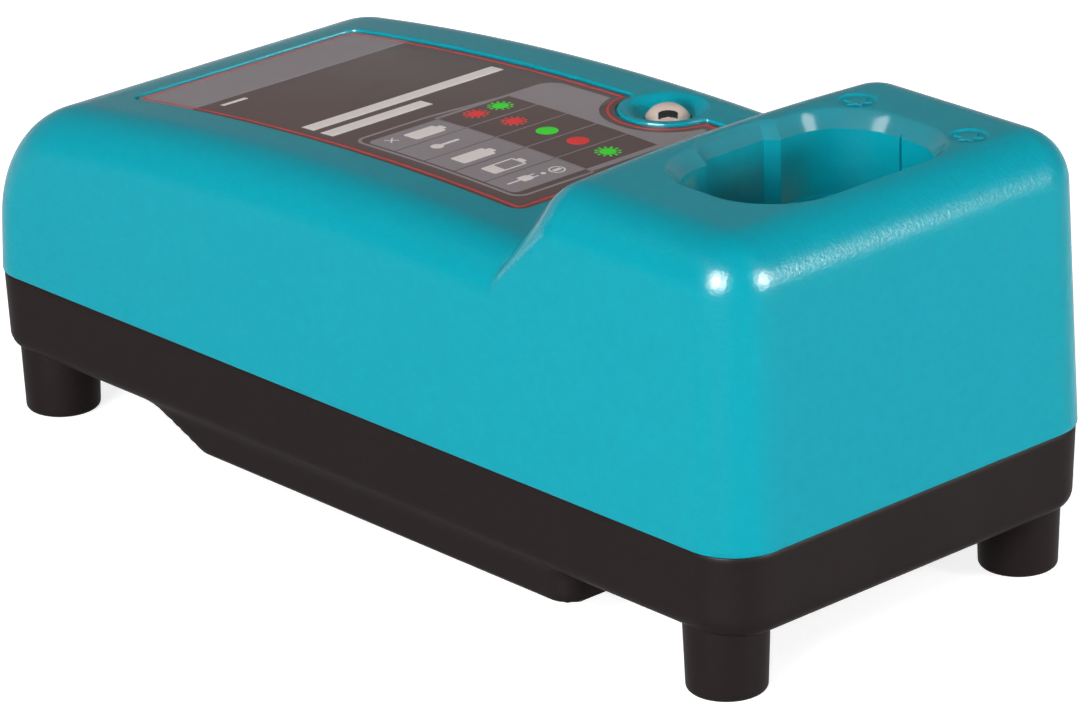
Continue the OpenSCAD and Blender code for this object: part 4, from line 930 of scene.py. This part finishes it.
screw_well = turned("screw_well", [(well_r + 0.45, -1), (well_r + 0.4, 0.02), (well_r, 0.45),
                                   (well_r, SCREW_SEAT_Z)], segments=48)
screw_hole = turned("screw_hole", [(hole_r, SCREW_SEAT_Z - 1), (hole_r, BOSS_Z + 2)], segments=32)
cut(lower, vents, at_feet("screw_wells", screw_well), at_feet("screw_holes", screw_hole))
print("finished lower shell", len(lower.data.polygons), "faces")

# %% [markdown]
# The cord leaves through a soft gland that both shells grip at their joint. Its seat is a stepped
# hole, so one turned cutter is laid across the wall and cut out of each shell.

# %% The gland's seat, half in each shell
GLAND_X, GLAND_D = -85.0, 15.0
GLAND_FACE_Y, GLAND_FLANGE = BODY_W / 2 - 0.3, 1.1


def gland_seat():
    """The stepped hole that the cord gland fills, about an axis along Y."""
    neck, flange = GLAND_D / 2 - 2, GLAND_D / 2
    inner = BODY_W / 2 - WALL - SET_BACK
    profile = [(flange, 5), (flange, inner), (neck, inner + 0.001), (neck, GLAND_FACE_Y - GLAND_FLANGE),
               (flange, GLAND_FACE_Y - GLAND_FLANGE + 0.001), (flange, BODY_W)]
    obj = turned("seat", profile, segments=64)
    turn = Matrix.Translation((GLAND_X * MM, 0, SEAM_Z * MM)) @ Matrix.Rotation(-math.pi / 2, 4, "X")
    obj.data.transform(turn)
    return obj


for shell in (upper, lower):
    cut(shell, gland_seat())
print("gland seat at", GLAND_X, "mm,", GLAND_D, "mm across")

# %% [markdown]
# The upper shell is one moulding, so its polished parts aren't pieces of their own. The faces of the
# well's mouth and of the step's side edges are given a second and a third finish instead. The mouth's finish
# is also a darker teal, which is painted shade.

# %% Shells take their finish
def by_angle(obj, degrees=32):
    """Smooth shading that breaks at edges sharper than the angle."""
    merge_close(obj)
    obj.data.shade_smooth()
    limit = math.radians(degrees)
    edit(obj, lambda bm: [setattr(e, "smooth", e.calc_face_angle(0) < limit) for e in bm.edges])
    return obj


def mark_faces(obj, index):
    """Each face's place in the list of the piece's finishes."""
    obj.data.polygons.foreach_set("material_index", np.asarray(index).astype(np.int32))


def face_data(obj, what):
    """The centres or normals of a piece's faces, as three rows."""
    return np.array([getattr(f, what)[:] for f in obj.data.polygons]).T


def finished(obj, finish_name, slot_name, *nodes, body=BODY):
    """The last steps for a piece: its finish, its body and the nodes that it stands for. slot_name is not
    used.
    """
    obj.data.materials.clear()
    obj.data.materials.append(FINISHES[finish_name])
    mark_faces(obj, np.zeros(len(obj.data.polygons)))
    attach(obj, body)
    if nodes:
        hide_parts(*nodes)
    return obj


def in_mouth(x, y, out):
    """Distance to the well's plan and its keyway, both pushed outwards by out."""
    across = [np.abs(x - WELL_X) - (WELL_L / 2 + out), np.abs(y) - (WELL_W / 2 + out)]
    stem = corner(*across, WELL_R + out)
    keyway = np.maximum(np.abs(y - KEY_Y) - (KEY_W / 2 + KEY_D + out),
                        (WELL_X - WELL_L / 2 - KEY_D - out) - x)
    return np.minimum(stem, np.maximum(keyway, x - WELL_X))


# Where the polished edges of the step lie, and the limits of their faces' normals
CREST_X, CREST_Y, CREST_Z, CREST_TURN = (38, 62), 30, DECK_Z - 6, (-0.22, 0.3, -0.05)


def polish_mouth(obj):
    """The well's sloping mouth and the sharp side edges of the step take a mould's polished finish; the
    mouth's is also a darker teal, which is painted shade.
    """
    for name in ("teal_polished_shaded", "teal_crest"):
        obj.data.materials.append(FINISHES[name])
    (x, y, z), facing = face_data(obj, "center") / MM, face_data(obj, "normal")
    # The well's mouth gets the polish and, with it, the darker teal that is painted shade.
    inside = (in_mouth(x, y, LEAD_W + 0.15) < 0) & (z > TOP - LEAD_H) & (z < TOP - 0.05)
    crest = (x > CREST_X[0]) & (x < CREST_X[1]) & (np.abs(y) > CREST_Y) & (z > CREST_Z)
    crest &= ((facing[0] < CREST_TURN[0]) & (np.abs(facing[1]) > CREST_TURN[1])
              & (facing[2] > CREST_TURN[2]))
    mark_faces(obj, inside + 2 * crest)
    print("polished faces", int(inside.sum()))


finished(by_angle(upper), "teal_plastic", "teal_plastic", "upper_casing")
polish_mouth(upper)
finished(by_angle(lower), "black_plastic", "black_plastic", "lower_casing")
print("shells", [len(o.data.polygons) for o in (upper, lower)])

# %% [markdown]
# ## The status lens
# A milky dome in a dish beside the label. In its front half, painted shade stands for the dark hollow
# where the lamp's holder sits: a window with round corners, which is a second, darker finish on the dome's
# faces there.

# %% The lens
finish("milky_lens", (0.70, 0.54, 0.46), 0.16, pits=1500, depth=0.004, tone=0.03, Coat_Weight=0.6,
       Coat_Roughness=0.05)
# Painted shade: a near-black finish on the dome that stands for the dark hollow under the lens
finish("lens_hollow_shade", (0.010, 0.012, 0.012), 0.1, pits=1500, depth=0.003, tone=0.03)
LENS_RISE, LENS_COLLAR, LENS_BASE_Z = 2.6, 1.2, dish_z + 0.3
# Where the painted shade of the hollow sits on the dome: its turn, its distance ahead, its half sizes and its
# corner radius
SHADE_TURN, SHADE_AHEAD, SHADE_HALF, SHADE_R = math.radians(48), 3.15, (2.0, 0.7), 0.4


def lens_dome():
    r, z0 = LENS_D / 2, LENS_BASE_Z
    big = (r * r + LENS_RISE ** 2) / (2 * LENS_RISE)
    cap = [(big * math.sin(t), z0 + LENS_RISE - big + big * math.cos(t))
           for t in np.linspace(math.asin(r / big), 0.004, 40)]
    collar = r + LENS_COLLAR
    body = [(collar, seat_z - LENS_COLLAR), (collar, seat_z - 0.02), (r, seat_z + 0.02), (r, z0 - 0.05)]
    return turned("lens_dome", body + cap, (LENS_X, LENS_Y), 128)


def paint_hollow_shade(obj):
    """Painted shade on the faces over the dark hollow where the lamp's holder stands, in the lens's own frame
    turned to its front.
    """
    obj.data.materials.append(FINISHES["lens_hollow_shade"])
    x, y, z = (face_data(obj, "center").T / MM - (LENS_X, LENS_Y, LENS_BASE_Z)).T
    ahead = x * math.sin(SHADE_TURN) - y * math.cos(SHADE_TURN) - SHADE_AHEAD
    across = x * math.cos(SHADE_TURN) + y * math.sin(SHADE_TURN)
    window = corner(*(np.abs(v) - half for v, half in zip((across, ahead), SHADE_HALF)), SHADE_R) < 0
    mark_faces(obj, window & (z > 0.1))
    print("window faces", int(window.sum()))


lens_piece = finished(by_angle(lens_dome()), "milky_lens", "clear_lens", "status_lens")
paint_hollow_shade(lens_piece)

# %% [markdown]
# ## The label
# A thin film in the recess, printed in a few flat colours. It stays bare where a maker would put a
# name, and its table of lamp signals uses plain stars, dots and battery outlines. Each colour of
# print is one very thin raised layer, so it stays crisp from any distance.

# %% The film
film_top = -RECESS + FILM
film = label_slab("label_film", [(-RECESS + 0.01, -0.02), (film_top - 0.1, 0.0), (film_top - 0.03, -0.03),
                                 (film_top, -0.12)], True)
finished(by_angle(film), "label_film", "label_film", "label_plate")
print("film", LABEL_L, "by", LABEL_W, "by", FILM, "mm")


# %% [markdown]
# The print has to follow the arch. It is filled flat, cut across every few millimetres, lifted onto
# the deck and given its thickness by a Solidify modifier, which is then worked in.

# %% Printing on the arch
# Flat print is cut at these places, so that it can follow the arch
FOLDS_X = np.arange(-84, 36, 4)


def print_layer(name, shapes, lift):
    """Flat shapes laid on the film. Each shape is a list of plan loops, holes after the outside."""
    bm = bmesh.new()
    for loops in shapes:
        edges = []
        for loop in loops:
            verts = [bm.verts.new((x * MM, y * MM, 0)) for x, y in loop]
            edges += [bm.edges.new((verts[k], verts[(k + 1) % len(verts)])) for k in range(len(verts))]
        bmesh.ops.triangle_fill(bm, edges=edges, use_beauty=True, use_dissolve=False)
    for x in FOLDS_X:
        bmesh.ops.bisect_plane(bm, geom=bm.verts[:] + bm.edges[:] + bm.faces[:], plane_co=(x * MM, 0, 0),
                               plane_no=(1, 0, 0), dist=0.01 * MM)
    for f in bm.faces:
        f.normal_update()
        if f.normal.z < 0:
            f.normal_flip()
    mesh = bpy.data.meshes.new(name)
    bm.to_mesh(mesh)
    bm.free()
    obj = new_object(name, mesh)
    co = np.zeros(len(mesh.vertices) * 3)
    mesh.vertices.foreach_get("co", co)
    co = co.reshape(-1, 3)
    co[:, 2] = (deck_z(co[:, 0] / MM) + film_top + lift) * MM
    mesh.vertices.foreach_set("co", co.ravel())
    solid = obj.modifiers.new("thickness", "SOLIDIFY")
    solid.thickness = (lift + 0.02) * MM
    solid.offset = -1
    return baked(obj)


def disc(centre, r, n=32):
    t = np.linspace(0, 2 * math.pi, n, endpoint=False)
    return np.column_stack([centre[0] + r * np.cos(t), centre[1] + r * np.sin(t)])


TABLE_X, TABLE_PITCH, ROWS = -16.9, 8.8, 5
COLUMN_NEAR, COLUMN_MID, COLUMN_FAR = -24.3, -5.4, 14.0
column_x = [TABLE_X + k * TABLE_PITCH for k in range(ROWS)]
CELL_GAP = 0.35
FRAME_X0, FRAME_X1, FRAME_Y0, HEADER_Y = -19.8, 29.4, -25.6, 26.6
LENS_KEEP = BITE_R + 3.2


def round_corners(loop, radii, arc=6):
    """A plan loop with its corners rounded; radii follow the loop's points."""
    loop = np.asarray(loop, float)
    plan = []
    for k, r in enumerate(radii):
        p, a, b = loop[k], loop[k - 1], loop[(k + 1) % len(loop)]
        u, v = (a - p) / np.linalg.norm(a - p), (b - p) / np.linalg.norm(b - p)
        if r <= 0:
            plan.append(p)
            continue
        half = math.acos(float(np.clip(u @ v, -1, 1))) / 2
        centre = p + (u + v) / np.linalg.norm(u + v) * r / math.sin(half)
        start, stop = p + u * r / math.tan(half) - centre, p + v * r / math.tan(half) - centre
        sweep = math.atan2(start[0] * stop[1] - start[1] * stop[0], start @ stop)
        for t in np.linspace(0, sweep, arc):
            c, s = math.cos(t), math.sin(t)
            plan.append(centre + (start[0] * c - start[1] * s, start[0] * s + start[1] * c))
    return np.array(plan)


def kept_off_lens(loop, keep):
    """Points of a loop that come closer to the lens than keep are moved out to that distance."""
    loop = np.array(loop, float)
    off = loop - (LENS_X, LENS_Y)
    reach = np.linalg.norm(off, axis=1)
    near = reach < keep
    loop[near] = (LENS_X, LENS_Y) + off[near] / reach[near, None] * keep
    return loop


def dense(loop, step=0.6):
    """A loop with points added along its edges."""
    loop = np.asarray(loop, float)
    plan = []
    for a, b in zip(loop, np.roll(loop, -1, 0)):
        n = max(1, int(np.linalg.norm(b - a) / step))
        plan += [a + (b - a) * t / n for t in range(n)]
    return np.array(plan)


# %% The grey print
def cells(y0, y1):
    """One cell of each column, from y0 to y1."""
    return [[bar(x + CELL_GAP / 2, y0, x + TABLE_PITCH - CELL_GAP / 2, y1)] for x in column_x]


near_cells = cells(COLUMN_NEAR, COLUMN_MID - CELL_GAP / 2)
near_cells[0] = [round_corners(near_cells[0][0], (1.6, 0, 0, 0))]
near_cells[-1] = [round_corners(near_cells[-1][0], (0, 1.6, 0, 0))]
HEADER_X0, HEADER_X1 = TABLE_X - 0.9, FRAME_X1 - 0.8
header = round_corners(bar(HEADER_X0, COLUMN_MID, HEADER_X1, HEADER_Y), (0, 0, 0.8, 4.0))
FRAME_W = 0.7
frame_line = np.concatenate([
    [(FRAME_X0 + 2.2, COLUMN_FAR)],
    round_corners([(FRAME_X0, COLUMN_MID), (FRAME_X0, FRAME_Y0), (FRAME_X1, FRAME_Y0),
                   (FRAME_X1, COLUMN_MID)], (0, 3, 3, 0)),
    round_corners([(FRAME_X1 - FRAME_W, COLUMN_MID), (FRAME_X1 - FRAME_W, FRAME_Y0 + FRAME_W),
                   (FRAME_X0 + FRAME_W, FRAME_Y0 + FRAME_W), (FRAME_X0 + FRAME_W, COLUMN_MID)],
                  (0, 2.4, 2.4, 0)),
    [(FRAME_X0 + 2.2 + FRAME_W, COLUMN_FAR)]])
grey_shapes = near_cells + [[kept_off_lens(dense(header), LENS_KEEP)], [frame_line]]
BAND_X0, BAND_X1 = LABEL_X - LABEL_L / 2 + 0.3, -65.2
grey_shapes += [[round_corners(bar(BAND_X0, -LABEL_W / 2 + 0.5, BAND_X1, LABEL_W / 2 - 0.5), (2, 0, 0, 2))]]
grey = print_layer("print_grey", grey_shapes, 0.02)

# %% The dark cells and the red outline
dark = print_layer("print_dark", cells(COLUMN_MID + CELL_GAP / 2, COLUMN_FAR), 0.035)
RED_IN, RED_W = 1.25, 0.5
outline = print_layer("print_outline", [[label_loop(inset=RED_IN), label_loop(inset=RED_IN + RED_W)]],
                      0.045)

# %% Stars and dots of the lamp signals
def star_mark(centre, disc_r=1.75, ray_in=2.0, ray_out=2.75, ray_w=0.5, rays=12):
    """A disc with a ring of short rays, for a lamp that blinks."""
    shapes = [[disc(centre, disc_r)]]
    for k in range(rays):
        a = 2 * math.pi * k / rays
        along = np.array((math.cos(a), math.sin(a)))
        across = np.array((-math.sin(a), math.cos(a))) * ray_w / 2
        shapes.append([np.array([centre + along * ray_in - across, centre + along * ray_out - across,
                                 centre + along * ray_out + across, centre + along * ray_in + across])])
    return shapes


RED_MARKS = star_mark((-13.3, 2.0)) + star_mark((-3.9, 3.8)) + [[disc((14.2, 4.4), 2.3)]]
GREEN_MARKS = star_mark((-13.3, 8.6)) + star_mark((22.9, 4.4)) + [[disc((5.4, 4.2), 2.3)]]
red = print_layer("print_red", RED_MARKS, 0.05)
green = print_layer("print_green", GREEN_MARKS, 0.05)


# %% Battery pictograms and plain stickers
def battery(x, y, length=9.6, width=4.4, fill=1.0, line=0.45):
    """A battery lying across the deck, its stud away from the reader; fill is the share filled."""
    y0, y1 = y - length / 2, y + length / 2 - 1.1
    body = round_corners(bar(x - width / 2, y0, x + width / 2, y1), (0.5,) * 4, 4)
    stud = round_corners(bar(x - width / 4, y1 + 0.05, x + width / 4, y1 + 1.1), (0, 0, 0.4, 0.4), 4)
    if fill >= 1:
        return [[body], [stud]]
    level = y0 + line + (y1 - y0 - 2 * line) * fill
    return [[body, bar(x - width / 2 + line, level, x + width / 2 - line, y1 - line)], [stud]]


def cross(x, y, size=1.5, line=0.35):
    shapes = []
    for s in (-1, 1):
        along = np.array((1, s)) / math.sqrt(2)
        across = np.array((-along[1], along[0])) * line / 2
        shapes.append([np.array([(x, y) + along * d * size + across * e
                                 for d, e in ((-1, -1), (1, -1), (1, 1), (-1, 1))])])
    return shapes


cell_mid = [x + TABLE_PITCH / 2 for x in column_x]
white_shapes = cross(cell_mid[0] - 1.2, -20.3) + battery(cell_mid[0] + 0.2, -12.2, 9.0)
white_shapes += [[disc((cell_mid[1] - 0.3, -16.8), 1.35)],
                 [round_corners(bar(cell_mid[1] - 0.75, -16.0, cell_mid[1] + 0.15, -11.0),
                                (0, 0, 0.4, 0.4), 4)]]
white_shapes += battery(cell_mid[2] + 0.5, -15.3)
white_shapes += battery(cell_mid[3] + 0.4, -15.1, fill=0.35)
plug_x = cell_mid[4] - 0.3
white_shapes += [[round_corners(bar(plug_x - 1.3, -18.6, plug_x + 1.3, -15.6), (0.3, 0.3, 1.1, 1.1), 4)],
                 [bar(plug_x - 0.25, -22.0, plug_x + 0.25, -18.5)],
                 [bar(plug_x - 0.85, -15.7, plug_x - 0.45, -14.4)],
                 [bar(plug_x + 0.45, -15.7, plug_x + 0.85, -14.4)],
                 [disc((plug_x + 0.4, -12.9), 0.55)],
                 [disc((plug_x + 0.8, -9.6), 1.75), disc((plug_x + 0.8, -9.6), 1.4)],
                 [bar(plug_x + 0.3, -10.6, plug_x + 1.3, -8.6)]]
STICKERS = [bar(-28.9, -26.0, -25.1, 0.8), bar(-35.0, -25.8, -31.2, 25.8), bar(-62.4, -24.4, -61.1, -18.0)]
white_shapes += [[s] for s in STICKERS]
white = print_layer("print_white", white_shapes, 0.03)
PRINT_INKS = {"print_grey": (0.30, 0.262, 0.276), "print_dark": (0.11, 0.065, 0.06),
              "print_outline": (0.66, 0.03, 0.03), "print_red": (0.98, 0.02, 0.02),
              "print_green": (0.03, 0.9, 0.01), "print_white": (0.92, 0.84, 0.81)}
layers = (grey, dark, outline, red, green, white)
for layer in layers:
    finish(layer.name, PRINT_INKS[layer.name], 0.36, pits=5000, depth=0.006, tone=0.04,
           Specular_IOR_Level=0.25)
    finished(layer, layer.name, "label_film")
print("print layers", {o.name: len(o.data.polygons) for o in layers})

# %% [markdown]
# ## Floor and lamps
# Two big soft lamps stand low, one to the left of the camera and one far round to the right, so the
# walls are brighter than the deck. Two weaker ones stand high and light the top and the mouth of the
# well, and the sky fills the rest evenly. Two more are seen only as gleams: they put a bright spot on
# each round corner of the pod and add nothing to the colour of the walls. The floor is white and
# glows for the camera and for mirror-like surfaces only, so it stays plain and pale without throwing
# more light on the charger, and it still takes a soft shadow.

# %% The floor
FLOOR_SIZE_MM, FLOOR_SEEN, FLOOR_MIRRORED = 6000.0, 0.82, 0.5


def glow_strength(net, seen, mirrored, base=0.0):
    """One strength for the camera, one for mirror-like or clear surfaces, and base for the rest."""
    path = net.add("ShaderNodeLightPath")
    mirror = net.maths("MAXIMUM", path.outputs["Is Glossy Ray"], path.outputs["Is Transmission Ray"])
    more = net.maths("ADD", net.maths("MULTIPLY", path.outputs["Is Camera Ray"], seen - base),
                     net.maths("MULTIPLY", mirror, mirrored - base))
    return net.maths("ADD", more, base)


def floor_finish():
    """White, with a glow that only the camera and mirror-like or clear surfaces see."""
    material, net, shader = principled("floor_white", {
        "Base Color": (0.6, 0.6, 0.6, 1), "Roughness": 0.9, "Specular IOR Level": 0.1})
    glow, both = net.add("ShaderNodeEmission"), net.add("ShaderNodeAddShader")
    net.link(glow_strength(net, FLOOR_SEEN, FLOOR_MIRRORED), glow.inputs["Strength"])
    net.chain((shader, 0, both, 0), (glow, 0, both, 1),
              (both, 0, material.node_tree.nodes["Material Output"], "Surface"))
    return material


half_floor = FLOOR_SIZE_MM / 2
floor = make_mesh("floor", at_height(bar(-half_floor, -half_floor, half_floor, half_floor), 0),
                  [(0, 1, 2, 3)])
floor.data.materials.append(floor_finish())
print("floor", FLOOR_SIZE_MM, "mm square")

# %% The sky
SKY, SKY_SEEN, SKY_MIRRORED = 0.22, 1.0, 0.35
world = bpy.data.worlds.new("sky")
scene.world = world
world.use_nodes = True
net = Nodes(world.node_tree)
back = world.node_tree.nodes["Background"]
back.inputs["Color"].default_value = (1, 1, 1, 1)
net.link(glow_strength(net, SKY_SEEN, SKY_MIRRORED, SKY), back.inputs["Strength"])
print("sky", SKY)


# %% The lamps
def lamp(name, azimuth, elevation, size_mm, watts, gleam_only=False, distance_mm=1700, height_mm=60):
    """A soft lamp that looks at the charger; azimuth turns from the near side towards the pod end."""
    data = bpy.data.lights.new(name, "AREA")
    data.shape = "RECTANGLE"
    data.size, data.size_y = (v * MM for v in size_mm)
    data.energy = watts
    a, e = math.radians(azimuth), math.radians(elevation)
    away = Vector((math.sin(a) * math.cos(e), -math.cos(a) * math.cos(e), math.sin(e)))
    obj = bpy.data.objects.new(name, data)
    obj.matrix_world = (Matrix.Translation((away * distance_mm + Vector((0, 0, height_mm))) * MM)
                        @ away.to_track_quat("Z", "Y").to_matrix().to_4x4())
    obj.visible_diffuse = not gleam_only
    scene.collection.objects.link(obj)
    return obj


lamps = [lamp("left_lamp", 18, 16, (600, 600), 25), lamp("right_lamp", 119, 9, (500, 400), 16.5),
         lamp("high_left_lamp", -25, 43, (800, 400), 3.6), lamp("high_right_lamp", 110, 46, (400, 400), 1.8),
         lamp("left_gleam", 18.7, 24, (760, 760), 330, True),
         lamp("right_gleam", 110, 16, (560, 560), 160, True)]
print("lamps", [o.name for o in lamps])
